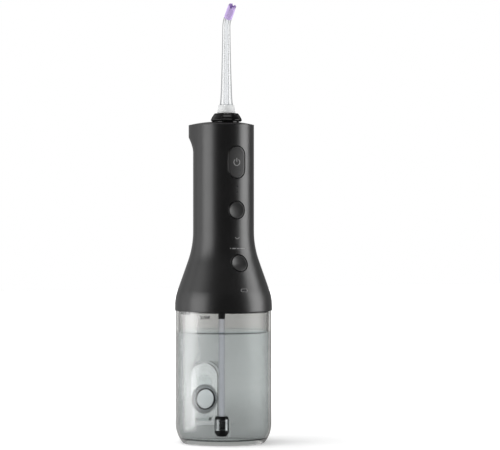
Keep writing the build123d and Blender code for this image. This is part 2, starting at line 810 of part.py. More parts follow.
with BuildPart() as drive_gear:
    # the tooth spaces are turned so that one faces the pinion
    to_pinion = math.degrees(math.atan2(MOTOR_Y - GEAR_Y, -GEAR_X))
    half_tooth = 180 / GEAR_TEETH
    gear_turn = Plane(
        origin=(GEAR_X, GEAR_Y, GEAR_LOW),
        x_dir=(
            math.cos(math.radians(to_pinion + half_tooth)),
            math.sin(math.radians(to_pinion + half_tooth)),
            0,
        ),
        z_dir=(0, 0, 1),
    )
    with BuildSketch(gear_turn):
        gear_face(GEAR_TEETH, 0.14, 0.75, 1.05)
    extrude(amount=GEAR_HIGH - GEAR_LOW)
    with BuildSketch(upright(GEAR_HIGH, GEAR_X, GEAR_Y)):
        Circle(10.2)
        Circle(3.6, mode=Mode.SUBTRACT)
    extrude(amount=-1.4, mode=Mode.SUBTRACT)
    with BuildSketch(upright(GEAR_HIGH, GEAR_X, GEAR_Y)):
        Circle(1.53)
    extrude(amount=-3.2, mode=Mode.SUBTRACT)
    with BuildSketch(upright(94.4, GEAR_X, GEAR_Y + CRANK)):
        Circle(CRANK_PIN_R)
    extrude(amount=GEAR_LOW - 94.4)
finish(drive_gear, "drive_gear")

with BuildPart() as gear_axle:
    with BuildSketch(upright(GEAR_LOW + 1.0, GEAR_X, GEAR_Y)):
        Circle(1.5)
    extrude(amount=CHASSIS_LOW + 2 - GEAR_LOW - 1.0)
finish(gear_axle, "gear_axle")

with BuildPart() as motor_pinion:
    pinion_plane = Plane(
        origin=(0, MOTOR_Y, GEAR_LOW - 0.2),
        x_dir=(GEAR_X, GEAR_Y - MOTOR_Y, 0),
        z_dir=(0, 0, 1),
    )
    with BuildSketch(pinion_plane):
        gear_face(PINION_TEETH, 0.14, 0.8, 0.95)
    extrude(amount=4.4)
    with BuildSketch(upright(GEAR_LOW - 0.2, 0, MOTOR_Y)):
        Circle(1.0)
    extrude(amount=4.4, mode=Mode.SUBTRACT)
finish(motor_pinion, "motor_pinion")

with BuildPart() as motor_shaft:
    with BuildSketch(upright(GEAR_LOW - 0.2, 0, MOTOR_Y)):
        Circle(1.0)
    extrude(amount=MOTOR_LOW + 8 - GEAR_LOW + 0.2)
finish(motor_shaft, "motor_shaft")

with BuildPart() as motor:
    with BuildSketch(upright(MOTOR_LOW, 0, MOTOR_Y)):
        Circle(MOTOR_R)
    extrude(amount=MOTOR_HIGH - MOTOR_LOW)
    fillet(motor.edges().filter_by(GeomType.CIRCLE), 1.2)
    with BuildSketch(upright(CHASSIS_LOW + 0.2, 0, MOTOR_Y)):
        Circle(3.0)
    extrude(amount=MOTOR_LOW - CHASSIS_LOW)
    # brush terminals on top
    with BuildSketch(upright(MOTOR_HIGH - 0.4, 0, MOTOR_Y)):
        with Locations((-8, 0), (8, 0)):
            Rectangle(0.5, 2.6)
    extrude(amount=1.2)
    with BuildSketch(upright(CHASSIS_LOW, 0, MOTOR_Y)):
        Circle(1.03)
    extrude(amount=MOTOR_LOW + 8.2 - CHASSIS_LOW, mode=Mode.SUBTRACT)
finish(motor, "motor")

with BuildPart() as chassis:
    with BuildSketch(Plane.XY.offset(CHASSIS_LOW)):
        Circle(CHASSIS_R)
        with Locations(*ring_points(POST_ORBIT, POST_ANGLES)):
            Circle(0.95, mode=Mode.SUBTRACT)
        with Locations((0, MOTOR_Y)):
            Circle(3.1, mode=Mode.SUBTRACT)
        with Locations((GEAR_X, GEAR_Y)):
            Circle(1.5, mode=Mode.SUBTRACT)
        with Locations((VALVE_X, GEAR_Y)):
            Circle(3.1, mode=Mode.SUBTRACT)
    extrude(amount=MOTOR_LOW - CHASSIS_LOW)
    # ring that holds the motor's foot
    with BuildSketch(upright(MOTOR_LOW, 0, MOTOR_Y)):
        Circle(MOTOR_R + 1.4)
        Circle(MOTOR_R + 0.1, mode=Mode.SUBTRACT)
    extrude(amount=5)
    # legs up to the battery tray
    with BuildSketch(Plane.XY.offset(MOTOR_LOW)):
        with Locations((-14.3, 6), (14.3, 6)):
            Rectangle(1.6, 4)
    extrude(amount=138.2 - MOTOR_LOW)
finish(chassis, "chassis")


# ---- battery, tray and board -----------------------------------------------------------

with BuildPart() as battery_tray:
    with BuildSketch(Plane.XY.offset(138.2)):
        with Locations((0, 4.2)):
            Rectangle(19, 14.4)
        with Locations((0, 6)):
            Rectangle(30.2, 4)
    extrude(amount=1.6)
    with BuildSketch(Plane.XY.offset(138.2)):
        with Locations((0, -2.0)):
            Rectangle(20, 2.0)
    extrude(amount=55)
    with BuildSketch(Plane.XY.offset(191.8)):
        with Locations((0, 4.2)):
            Rectangle(17, 14.4)
    extrude(amount=1.4)
    # spring arms that hold the cell
    for low in (150.0, 172.0):
        with BuildSketch(upright(low, 0, CELL_Y)):
            Circle(CELL_R + 1.2)
            Circle(CELL_R + 0.1, mode=Mode.SUBTRACT)
            with Locations((0, -5.5)):
                Rectangle(24, 12, mode=Mode.INTERSECT)
        extrude(amount=9)
    # spacers behind the board
    for height in (146.0, 187.0):
        with BuildSketch(Plane(origin=(0, -3.0, height), x_dir=(1, 0, 0), z_dir=(0, -1, 0))):
            Circle(1.8)
        extrude(amount=-3.0 - BOARD_BACK)
finish(battery_tray, "battery_tray")

with BuildPart() as battery:
    with BuildSketch(upright(CELL_LOW, 0, CELL_Y)):
        Circle(CELL_R)
    extrude(amount=CELL_HIGH - CELL_LOW)
    fillet(battery.edges().filter_by(GeomType.CIRCLE), 0.6)
    with BuildSketch(upright(CELL_HIGH - 0.1, 0, CELL_Y)):
        Circle(3)
    extrude(amount=0.9)
finish(battery, "battery")

with BuildPart() as battery_tabs:
    for low in (CELL_LOW - 0.35, CELL_HIGH + 0.8):
        with BuildSketch(upright(low, 0, CELL_Y)):
            Rectangle(5, 9)
        extrude(amount=0.3)
finish(battery_tabs, "battery_tabs")

MODE_SWITCH_Z = MODE_Z - 10.6 * math.sin(math.radians(FLARE_ANGLE))
FRONT = Plane(origin=(0, BOARD_FRONT, 0), x_dir=(1, 0, 0), z_dir=(0, -1, 0))

with BuildPart() as main_board:
    with BuildSketch(FRONT):
        with Locations((0, 157.5)):
            RectangleRounded(23, 91, 1.5)
    extrude(amount=BOARD_FRONT - BOARD_BACK)
finish(main_board, "main_board")

with BuildPart() as key_switches:
    with BuildSketch(FRONT):
        with Locations((0, POWER_Z), (0, PRESSURE_Z), (0, MODE_SWITCH_Z)):
            Rectangle(5, 5)
    extrude(amount=BOARD_FRONT - SWITCH_FRONT)
finish(key_switches, "key_switches")

with BuildPart() as board_parts:
    with BuildSketch(FRONT):
        with Locations((0, 139.0)):
            Rectangle(7, 7)
        with Locations((-6.5, 147.5), (6.5, 147.5)):
            Rectangle(4, 3)
    extrude(amount=1.1)
    # a capacitor and a coil, where the room in front of the board is deepest
    with BuildSketch(FRONT):
        with Locations((-6.2, 129.0), (6.2, 129.0)):
            Circle(2.4)
    extrude(amount=3.0)
finish(board_parts, "board_parts")


# ---- buttons ---------------------------------------------------------------------------


def button(plane, width, height, flange, flange_depth, stem, dish, sink):
    """A cap that follows the handle's surface, an inner flange that keeps it in, and a stem.

    Depths are measured inward from plane. The face is hollowed by dish, over its whole width.
    """
    grow = 2 * flange
    tall = height > width
    with BuildPart() as piece:
        with BuildSketch(plane.offset(-flange_depth)):
            if tall:
                SlotOverall(height - 2 * BUTTON_GAP, width - 2 * BUTTON_GAP, rotation=90)
            else:
                Circle(width / 2 - BUTTON_GAP)
        extrude(amount=flange_depth + 3)
        add(handle_body(sink, HANDLE_LOW, HANDLE_HIGH), mode=Mode.INTERSECT)
        if dish > 0:
            half = width / 2
            ball = (half**2 + dish**2) / (2 * dish)
            with Locations(plane.offset(ball - dish - sink).location):
                Sphere(ball, mode=Mode.SUBTRACT)
        with BuildSketch(plane.offset(-flange_depth - 1.2)):
            if tall:
                SlotOverall(height + grow, width + grow, rotation=90)
            else:
                Circle(width / 2 + flange)
        extrude(amount=1.2)
        with BuildSketch(plane.offset(-stem)):
            Circle(1.8)
        extrude(amount=stem - flange_depth)
    return piece


NECK_STEM = NECK_R + SWITCH_FRONT - BUTTON_TRAVEL - 0.3
power_button = button(POWER_PLANE, POWER_WIDTH, POWER_HEIGHT, 0.7, 3.6, NECK_STEM, 0, 0.0)
finish(power_button, "power_button")

pressure_button = button(PRESSURE_PLANE, 2 * ROUND_R, 0, 0.7, 3.4, NECK_STEM, 0.8, 0.15)
finish(pressure_button, "pressure_button")

mode_button = button(MODE_PLANE, 2 * ROUND_R, 0, 0.7, 3.6, 9.2, 0.8, 0.15)
finish(mode_button, "mode_button")

with BuildPart() as indicator_lights:
    for height in LIGHT_HEIGHTS:
        with BuildSketch(neck_plane(height).offset(-3.2)):
            Circle(0.75)
        extrude(amount=3.25)
    add(handle_body(0.05, HANDLE_LOW, HANDLE_HIGH), mode=Mode.INTERSECT)
finish(indicator_lights, "indicator_lights")

with BuildPart() as battery_light:
    with BuildSketch(BATTERY_LIGHT_PLANE.offset(-3.0)):
        SlotOverall(4.9, 2.2)
    extrude(amount=4)
    add(handle_body(0.05, HANDLE_LOW, HANDLE_HIGH), mode=Mode.INTERSECT)
finish(battery_light, "battery_light")


# ---- charging port ---------------------------------------------------------------------

with BuildPart() as charge_socket:
    with BuildSketch(CHARGE_UP.offset(-9.6)):
        SlotOverall(9.0, 3.3)
    extrude(amount=7.2)
    with BuildSketch(CHARGE_UP.offset(-8.8)):
        SlotOverall(8.4, 2.7)
        SlotOverall(6.8, 0.8, mode=Mode.SUBTRACT)
    extrude(amount=6.6, mode=Mode.SUBTRACT)
finish(charge_socket, "charge_socket")

with BuildPart() as charge_cover:
    with BuildSketch(CHARGE_UP.offset(-6)):
        charge_outline(0)
    extrude(amount=9)
    add(handle_body(0.05, HANDLE_LOW, HANDLE_HIGH), mode=Mode.INTERSECT)
    add(handle_body(1.15, HANDLE_LOW, HANDLE_HIGH), mode=Mode.SUBTRACT)
    # round the hinge edge, then add the short plug
    with BuildSketch(CHARGE_UP.offset(-2)):
        with Locations((0, -4.55)):
            Rectangle(6, 1.2)
    extrude(amount=4, mode=Mode.SUBTRACT)
    with BuildSketch(Plane(origin=CHARGE_UP.from_local_coords((2.5, -4.0, -0.6)), z_dir=(1, 0, 0))):
        Circle(0.55)
    extrude(amount=5)
    with BuildSketch(CHARGE_UP.offset(-2.1)):
        SlotOverall(7.8, 2.2)
    extrude(amount=1.3)
finish(charge_cover, "charge_cover")


# ---- nozzle socket, collar and nozzle --------------------------------------------------

with BuildPart() as nozzle_socket:
    with BuildSketch(upright(SOCKET_LOW, 0, NOZZLE_Y)):
        Circle(6.4)
    extrude(amount=212.8 - SOCKET_LOW)
    with BuildSketch(upright(211.3, 0, NOZZLE_Y)):
        Circle(10.1)
    extrude(amount=1.5)
    with BuildSketch(upright(SHANK_LOW - 0.5, 0, NOZZLE_Y)):
        Circle(SHANK_R + 0.05)
    extrude(amount=20, mode=Mode.SUBTRACT)
    with BuildSketch(upright(205.0, 0, NOZZLE_Y)):
        Circle(4.4)
    extrude(amount=1.1, mode=Mode.SUBTRACT)
    # side spout for the pressure hose
    with BuildSketch(along_x(6.0, NOZZLE_Y, BARB_Z)):
        Circle(2.0)
    extrude(amount=2.4)
    with BuildSketch(along_x(8.4, NOZZLE_Y, BARB_Z)):
        Circle(BARB_R)
    extrude(amount=2.2)
    with BuildSketch(along_x(0, NOZZLE_Y, BARB_Z)):
        Circle(0.8)
    extrude(amount=11, mode=Mode.SUBTRACT)
    with BuildSketch(upright(BARB_Z, 0, NOZZLE_Y)):
        Circle(0.9)
    extrude(amount=4, mode=Mode.SUBTRACT)
finish(nozzle_socket, "nozzle_socket")

with BuildPart() as socket_o_ring:
    with BuildSketch(nozzle_section()):
        with Locations((3.87, 205.55)):
            Circle(0.52)
    revolve(axis=NOZZLE_AXIS)
finish(socket_o_ring, "socket_o_ring")

with BuildPart() as nozzle_collar:
    with BuildSketch(nozzle_section()):
        with BuildLine():
            Polyline(
                (3.4, 213.2),
                (9.3, 213.2),
                (9.3, 214.2),
                (8.6, 214.2),
                (8.6, 218.75),
                (9.6, 218.75),
                (COLLAR_R, COLLAR_WIDE_Z),
                (COLLAR_NECK_R, COLLAR_NECK_Z),
                (8.2, COLLAR_HIGH),
                (3.4, COLLAR_HIGH),
                close=True,
            )
        make_face()
    revolve(axis=NOZZLE_AXIS)
    # broad sunk grip panels round the outside
    lean = (COLLAR_R - COLLAR_NECK_R) / (COLLAR_NECK_Z - COLLAR_WIDE_Z)
    panel_low = COLLAR_WIDE_Z + 0.45
    panel_high = COLLAR_NECK_Z - 0.25
    low_r = COLLAR_R - lean * (panel_low - COLLAR_WIDE_Z) - PANEL_DEPTH
    high_r = COLLAR_R - lean * (panel_high - COLLAR_WIDE_Z) - PANEL_DEPTH
    for index in range(COLLAR_PANELS):
        middle = FIRST_PANEL + 360 * index / COLLAR_PANELS
        with BuildSketch(nozzle_section(middle - PANEL_ARC / 2)):
            with BuildLine():
                Polyline(
                    (low_r, panel_low),
                    (COLLAR_R + 1, panel_low),
                    (COLLAR_R + 1, panel_high),
                    (high_r, panel_high),
                    close=True,
                )
            make_face()
        revolve(axis=NOZZLE_AXIS, revolution_arc=PANEL_ARC, mode=Mode.SUBTRACT)
finish(nozzle_collar, "nozzle_collar")

with BuildPart() as nozzle_skirt:
    with BuildSketch(nozzle_section()):
        with BuildLine():
            Polyline(
                (4.6, COLLAR_HIGH + 0.1),
                (6.2, COLLAR_HIGH + 0.1),
                (6.0, 225.4),
                (5.3, STEM_LOW),
                (4.6, STEM_LOW),
                close=True,
            )
        make_face()
    revolve(axis=NOZZLE_AXIS)
finish(nozzle_skirt, "nozzle_skirt")

BEND_TURN = math.radians(BEND_ANGLE)
BEND_END = (
    0,
    NOZZLE_Y - BEND_R * (1 - math.cos(BEND_TURN)),
    BEND_Z + BEND_R * math.sin(BEND_TURN),
)
TIP_AXIS = (0, -math.sin(BEND_TURN), math.cos(BEND_TURN))
TIP_PLANE = Plane(origin=BEND_END, x_dir=(1, 0, 0), z_dir=TIP_AXIS)
STEM_TOP_R = 2.65
STEM_BORE_R = 1.15

with BuildPart() as nozzle_stem:
    with BuildSketch(nozzle_section()):
        with BuildLine():
            Polyline((1.6, SHANK_LOW), (SHANK_R, SHANK_LOW), (SHANK_R, COLLAR_HIGH + 0.1))
            Polyline((SHANK_R, COLLAR_HIGH + 0.1), (4.6, COLLAR_HIGH + 0.1), (4.45, STEM_LOW))
            Spline(
                (4.45, STEM_LOW),
                (3.75, 237.0),
                (3.35, 249.0),
                (2.93, 265.5),
                (STEM_TOP_R, BEND_Z),
                tangents=((-0.12, 1), (-0.01, 1)),
            )
            Polyline((STEM_TOP_R, BEND_Z), (STEM_BORE_R, BEND_Z), (1.6, SHANK_LOW))
        make_face()
    revolve(axis=NOZZLE_AXIS)
    # the bend towards the front
    with BuildSketch(upright(BEND_Z, 0, NOZZLE_Y)):
        Circle(STEM_TOP_R)
        Circle(STEM_BORE_R, mode=Mode.SUBTRACT)
    revolve(axis=Axis((0, NOZZLE_Y - BEND_R, BEND_Z), (1, 0, 0)), revolution_arc=BEND_ANGLE)
    # spigot inside the soft tip
    with BuildSketch(TIP_PLANE):
        Circle(1.75)
        Circle(STEM_BORE_R, mode=Mode.SUBTRACT)
    extrude(amount=7)
finish(nozzle_stem, "nozzle_stem")

with BuildPart() as nozzle_tip:
    with BuildSketch(TIP_PLANE):
        Circle(TIP_R)
    extrude(amount=TIP_LENGTH)
    with BuildSketch(TIP_PLANE):
        Circle(1.8)
    extrude(amount=7.1, mode=Mode.SUBTRACT)
    with BuildSketch(TIP_PLANE.offset(7.1)):
        Circle(0.6)
    extrude(amount=TIP_LENGTH, mode=Mode.SUBTRACT)
    # cross-shaped mouth between four soft lobes
    with BuildSketch(TIP_PLANE.offset(TIP_LENGTH - 2.2)):
        Rectangle(7, 1.3, rotation=45)
        Rectangle(7, 1.3, rotation=-45)
    extrude(amount=4, mode=Mode.SUBTRACT)
finish(nozzle_tip, "nozzle_tip")
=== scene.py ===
"""Looks of a cordless water flosser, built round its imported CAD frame.

Metres, +Z up, the buttons at -Y. The CAD nodes stay where they are and get procedural materials.
Built here: the water, the hose, the buttons, the collar, the nozzle with its tip, and the marks.
"""

import json
import math

import bmesh
import bpy
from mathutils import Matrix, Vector


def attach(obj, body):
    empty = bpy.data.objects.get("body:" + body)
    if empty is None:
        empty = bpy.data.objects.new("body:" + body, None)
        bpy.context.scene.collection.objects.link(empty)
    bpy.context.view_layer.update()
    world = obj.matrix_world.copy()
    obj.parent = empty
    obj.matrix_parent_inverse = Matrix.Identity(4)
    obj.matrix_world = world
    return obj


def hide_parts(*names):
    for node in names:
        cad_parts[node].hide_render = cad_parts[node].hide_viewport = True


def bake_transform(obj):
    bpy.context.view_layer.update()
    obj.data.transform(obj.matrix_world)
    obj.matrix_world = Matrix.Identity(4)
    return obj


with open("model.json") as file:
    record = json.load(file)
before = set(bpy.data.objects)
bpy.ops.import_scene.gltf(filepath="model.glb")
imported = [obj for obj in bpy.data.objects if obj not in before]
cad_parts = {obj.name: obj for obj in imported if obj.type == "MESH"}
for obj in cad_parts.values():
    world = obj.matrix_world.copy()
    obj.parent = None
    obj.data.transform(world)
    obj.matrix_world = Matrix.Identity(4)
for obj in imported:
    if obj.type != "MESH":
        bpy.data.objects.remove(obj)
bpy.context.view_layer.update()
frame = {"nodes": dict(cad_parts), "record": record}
cad_nodes = frame["nodes"]

MM = 0.001
TURN = 2 * math.pi


# ---- mesh helpers ----------------------------------------------------------------------


def new_piece(name, points, faces, material, body, slot=None, replaces=(), sharp=35.0):
    """A mesh piece that rides on a body, smooth except for its sharp edges."""
    mesh = bpy.data.meshes.new(name)
    mesh.from_pydata([tuple(p) for p in points], [], faces)
    mesh.validate()
    work = bmesh.new()
    work.from_mesh(mesh)
    bmesh.ops.recalc_face_normals(work, faces=work.faces)
    work.to_mesh(mesh)
    work.free()
    mesh.shade_smooth()
    mesh.set_sharp_from_angle(angle=math.radians(sharp))
    mesh.materials.append(material)
    piece = bpy.data.objects.new(name, mesh)
    bpy.context.scene.collection.objects.link(piece)
    if body:
        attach(piece, body)
    if replaces:
        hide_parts(*replaces)
    return piece


def skin(rings, loop=False):
    """Points and faces of a surface through rings of equal length.

    A loop joins the last ring to the first. Otherwise a face closes each end.
    """
    count = len(rings[0])
    points = [p for ring in rings for p in ring]
    faces = []
    spans = len(rings) if loop else len(rings) - 1
    for i in range(spans):
        low, high = i * count, (i + 1) % len(rings) * count
        for k in range(count):
            after = (k + 1) % count
            faces.append((low + k, low + after, high + after, high + k))
    if not loop:
        faces.append(tuple(reversed(range(count))))
        faces.append(tuple(range((len(rings) - 1) * count, len(rings) * count)))
    return points, faces


def gathered(parts):
    """Several (points, faces) as one."""
    points, faces = [], []
    for some, sides in parts:
        base = len(points)
        points += some
        faces += [tuple(base + i for i in side) for side in sides]
    return points, faces


def rounded(corners, steps=5):
    """The closed outline through (r, z, radius) corners, each rounded by an arc."""
    made = []
    for i, (r, z, radius) in enumerate(corners):
        here = Vector((r, z))
        if radius <= 0:
            made.append(here)
            continue
        back = (Vector(corners[i - 1][:2]) - here).normalized()
        ahead = (Vector(corners[(i + 1) % len(corners)][:2]) - here).normalized()
        half = back.angle(ahead) / 2
        reach = radius / math.tan(half)
        centre = here + (back + ahead).normalized() * (radius / math.sin(half))
        first = here + back * reach - centre
        last = here + ahead * reach - centre
        for k in range(steps + 1):
            share = k / steps
            arm = first * (1 - share) + last * share
            made.append(centre + arm.normalized() * radius)
    return made


def lathe_rings(profile, centre, segments, shape=None):
    """Rings about an upright axis. shape gives the radius from (r, z, angle)."""
    rings = []
    for r, z in profile:
        ring = []
        for k in range(segments):
            angle = TURN * k / segments
            radius = shape(r, z, angle) if shape else r
            side = Vector((math.cos(angle), math.sin(angle), 0))
            ring.append(Vector((centre[0], centre[1], z)) + side * radius)
        rings.append(ring)
    return rings


def smooth_step(low, high, value):
    """0 below low, 1 above high and an even curve between."""
    share = min(max((value - low) / (high - low), 0.0), 1.0)
    return share * share * (3 - 2 * share)


# ---- materials -------------------------------------------------------------------------


def add(tree, kind, settings=None, **inputs):
    """Adds a shader node. An input is a value or the output that feeds it; i0 is by place."""
    made = tree.nodes.new("ShaderNode" + kind)
    for name, value in (settings or {}).items():
        setattr(made, name, value)
    for name, value in inputs.items():
        by_place = name[0] == "i" and name[1:].isdigit()
        socket = made.inputs[int(name[1:]) if by_place else name.replace("_", " ")]
        if isinstance(value, bpy.types.NodeSocket):
            tree.links.new(value, socket)
        else:
            socket.default_value = value
    return made


def blank(name):
    """A new material with an empty tree. Returns the material, its tree and its output."""
    material = bpy.data.materials.new(name)
    material.use_nodes = True
    tree = material.node_tree
    tree.nodes.clear()
    return material, tree, tree.nodes.new("ShaderNodeOutputMaterial")


def noise(tree, scale, detail=3.0, stretch=(1, 1, 1)):
    """Noise in the row frame."""
    place = add(tree, "TexCoord").outputs["Object"]
    mapped = add(tree, "Mapping", Vector=place, Scale=stretch).outputs[0]
    return add(tree, "TexNoise", Vector=mapped, Scale=scale, Detail=detail).outputs[0]


def between(tree, share, low, high):
    """A number that runs from low to high over the noise's usual range."""
    spread = add(
        tree, "MapRange", Value=share, From_Min=0.3, From_Max=0.7, To_Min=low, To_Max=high
    )
    return spread.outputs[0]


def mixed(tree, share, first, second):
    """A colour between two, by a share from 0 to 1. Each may be the output that feeds it."""
    low, high = [
        end if isinstance(end, bpy.types.NodeSocket) else (*end, 1) for end in (first, second)
    ]
    return add(tree, "Mix", {"data_type": "RGBA"}, i0=share, i6=low, i7=high).outputs[2]


def moulded(name, colour, roughness, vary=0.12, grain=2200, relief=0.01, edge=0.25, **more):
    """Moulded plastic or rubber: a cloudy colour, a fine eroded grain and softened edges."""
    material, tree, out = blank(name)
    cloud = noise(tree, 55)
    dark = [c * (1 - vary) for c in colour]
    light = [min(c * (1 + vary), 1) for c in colour]
    fine = noise(tree, grain, 2.0)
    bump = add(tree, "Bump", Strength=0.5, Distance=relief * MM, Height=fine)
    if edge:
        soft = add(tree, "Bevel", {"samples": 4}, Radius=edge * MM)
        tree.links.new(soft.outputs[0], bump.inputs["Normal"])
    shader = add(
        tree,
        "BsdfPrincipled",
        Base_Color=mixed(tree, between(tree, cloud, 0, 1), dark, light),
        Roughness=between(tree, cloud, roughness * 0.94, roughness * 1.06),
        Normal=bump.outputs[0],
        **more,
    )
    tree.links.new(shader.outputs[0], out.inputs[0])
    return material


def metal(name, colour, roughness, stretch=(1, 1, 30)):
    """Metal with fine tool marks."""
    material, tree, out = blank(name)
    marks = noise(tree, 900, 4.0, stretch)
    dark = [c * 0.92 for c in colour]
    light = [min(c * 1.08, 1) for c in colour]
    bump = add(tree, "Bump", Strength=0.25, Distance=0.004 * MM, Height=marks)
    shader = add(
        tree,
        "BsdfPrincipled",
        Base_Color=mixed(tree, between(tree, marks, 0, 1), dark, light),
        Metallic=1.0,
        Roughness=between(tree, marks, roughness * 0.8, roughness * 1.2),
        Normal=bump.outputs[0],
    )
    tree.links.new(shader.outputs[0], out.inputs[0])
    return material


def calc(tree, operation, first, second):
    """The result of one operation on two numbers."""
    return add(tree, "Math", {"operation": operation}, i0=first, i1=second).outputs[0]


def within(tree, value, low, high, soft):
    """A share that is 1 from low to high and 0 outside, with soft ends."""
    shape = {"interpolation_type": "SMOOTHSTEP"}
    rise = add(tree, "MapRange", shape, Value=value, From_Min=low - soft, From_Max=low + soft)
    fall = add(
        tree,
        "MapRange",
        shape,
        Value=value,
        From_Min=high - soft,
        From_Max=high + soft,
        To_Min=1.0,
        To_Max=0.0,
    )
    return calc(tree, "MULTIPLY", rise.outputs[0], fall.outputs[0])


def length_of(tree, first, second):
    """The length of a pair of numbers."""
    pair = add(tree, "CombineXYZ", X=first, Y=second).outputs[0]
    return add(tree, "VectorMath", {"operation": "LENGTH"}, i0=pair).outputs["Value"]


def edge_share(tree, power):
    """A share that grows from 0 where a surface is seen square on to 1 at its outline."""
    facing = add(tree, "LayerWeight", Blend=0.5).outputs["Facing"]
    return calc(tree, "POWER", facing, power)


def far_side(tree):
    """1 where a surface is seen from its back."""
    return add(tree, "NewGeometry").outputs["Backfacing"]


def row_place(tree):
    """The x, y and z of a place in the row frame."""
    place = add(tree, "SeparateXYZ", Vector=add(tree, "TexCoord").outputs["Object"])
    return place.outputs[:3]


def clear(
    name,
    tint,
    edge_tint,
    roughness=0.05,
    mirror=0.04,
    rim=0.2,
    edge_power=3.0,
    plain=None,
    dark=None,
    dark_tint=(0.11, 0.11, 0.11),
    shade=None,
):
    """See-through plastic or water: a tint that deepens towards its edges, under a gloss.

    mirror and rim are the gloss seen square on and at the outline. plain gives the share of a
    place that has neither edge nor gloss, dark the share that is under dark_tint, and shade a
    factor on the tint.
    """
    material, tree, out = blank(name)
    toward_outline = edge_share(tree, edge_power)
    graze = edge_share(tree, 5.0)
    share = add(tree, "MapRange", Value=graze, To_Min=mirror, To_Max=rim).outputs[0]
    if plain:
        open_share = calc(tree, "SUBTRACT", 1.0, plain(tree))
        toward_outline = calc(tree, "MULTIPLY", toward_outline, open_share)
        share = calc(tree, "MULTIPLY", share, open_share)
    colour = mixed(tree, toward_outline, tint, edge_tint)
    if dark:
        colour = mixed(tree, dark(tree), colour, dark_tint)
    if shade:
        scale = {"operation": "SCALE"}
        colour = add(tree, "VectorMath", scale, i0=colour, Scale=shade(tree)).outputs[0]
    window = add(tree, "BsdfTransparent", Color=colour)
    swell = noise(tree, 40, 1.0, (1, 1, 0.3))
    bump = add(tree, "Bump", Strength=0.2, Distance=0.02 * MM, Height=swell)
    gloss = add(
        tree,
        "BsdfPrincipled",
        Base_Color=(1, 1, 1, 1),
        Metallic=1.0,
        Roughness=between(tree, swell, roughness * 0.8, roughness * 1.2),
        Normal=bump.outputs[0],
    )
    both = add(tree, "MixShader", i0=share, i1=window.outputs[0], i2=gloss.outputs[0])
    tree.links.new(both.outputs[0], out.inputs[0])
    return material


# ---- the tank's own looks, by place ------------------------------------------------------

WATER_TOP = 75.5 * MM
TANK_R = 32.5 * MM
TANK_CORNER = (12.4 * MM, 13.0 * MM)  # radius and height of the foot's corner centre
WALL_MIDDLE = 19.2 * MM  # from the corner's centre to the middle of the wall
PAD_MIDDLE = 28.35 * MM  # the recess's wall, from the tank's axis
PAD_TOP = 53.6 * MM
PORT_Z = 27.7 * MM
PORT_R = 7.2 * MM
SEAT = (8.8 * MM, 10.3 * MM)
SEAT_DEPTH = 0.5
CAP_RIM = (6.9 * MM, 9.6 * MM)
FOOT_LINE = (3.3 * MM, 4.1 * MM)
FAR_FADE = (4 * MM, 14 * MM)
INSIDE_LIGHTER = 0.40
OUTSIDE_DARKER = 0.20
# Painted light: the recess's wall is tinted lighter than the rest of the wall.
RECESS_PAINTED_LIGHT = 0.12
DISC_DARKER = 0.1


def wall_masks(tree):
    """Shares of the tank's outside, of its inside and of the recess, each below the water."""
    x, y, z = row_place(tree)
    out = calc(tree, "SUBTRACT", length_of(tree, x, y), TANK_CORNER[0])
    up = calc(tree, "MINIMUM", calc(tree, "SUBTRACT", z, TANK_CORNER[1]), 0.0)
    within_wall = calc(tree, "LESS_THAN", length_of(tree, out, up), WALL_MIDDLE)
    low_back = calc(
        tree,
        "MULTIPLY",
        calc(tree, "GREATER_THAN", y, PAD_MIDDLE),
        calc(tree, "LESS_THAN", z, PAD_TOP),
    )
    recess = calc(tree, "MULTIPLY", within_wall, low_back)
    below = calc(tree, "LESS_THAN", z, WATER_TOP)
    inside = calc(tree, "MULTIPLY", calc(tree, "SUBTRACT", within_wall, recess), below)
    outside = calc(tree, "MULTIPLY", calc(tree, "SUBTRACT", 1.0, within_wall), below)
    return outside, inside, recess


def wet_wall(tree):
    """1 on the tank's inside below the water and low on its far side, where no edge shows."""
    inside = wall_masks(tree)[1]
    height = row_place(tree)[2]
    start, end = FAR_FADE
    low = add(
        tree, "MapRange", Value=height, From_Min=start, From_Max=end, To_Min=1.0, To_Max=0.0
    )
    far_foot = calc(tree, "MULTIPLY", far_side(tree), low.outputs[0])
    return calc(tree, "MAXIMUM", inside, far_foot)


def wall_tint_and_recess_light(tree):
    """The wall's depth of tint: below the water the outside carries it all, and the recess gets
    painted light.
    """
    outside, inside, recess = wall_masks(tree)
    lighter = calc(tree, "ADD", calc(tree, "MULTIPLY", inside, INSIDE_LIGHTER), 1.0)
    darker = calc(tree, "MULTIPLY", outside, OUTSIDE_DARKER)
    # Painted light on the recess's wall.
    recess_painted_light = calc(tree, "MULTIPLY", recess, RECESS_PAINTED_LIGHT)
    return calc(tree, "ADD", calc(tree, "SUBTRACT", lighter, darker), recess_painted_light)


def from_port(tree):
    """How far a place is from the fill port's axis."""
    x, _y, z = row_place(tree)
    return length_of(tree, x, calc(tree, "SUBTRACT", z, PORT_Z))


def disc_shade(tree):
    """The fill cap's depth of tint: deeper over the port than on its arms."""
    disc = calc(tree, "LESS_THAN", from_port(tree), PORT_R)
    return calc(tree, "SUBTRACT", 1.0, calc(tree, "MULTIPLY", disc, DISC_DARKER))


def foot_line(tree):
    """The dark line over the tank's foot on its near side, and the port's dark seat."""
    outside, _inside, recess = wall_masks(tree)
    near = calc(tree, "SUBTRACT", outside, far_side(tree))
    line = within(tree, row_place(tree)[2], *FOOT_LINE, 0.15 * MM)
    line = calc(tree, "MULTIPLY", line, near)
    seat = within(tree, from_port(tree), *SEAT, 0.5 * MM)
    seat = calc(tree, "MULTIPLY", seat, recess)
    return calc(tree, "MAXIMUM", line, calc(tree, "MULTIPLY", seat, SEAT_DEPTH))


def cap_ring(tree):
    """The fill cap's thick rim."""
    return within(tree, from_port(tree), *CAP_RIM, 0.3 * MM)


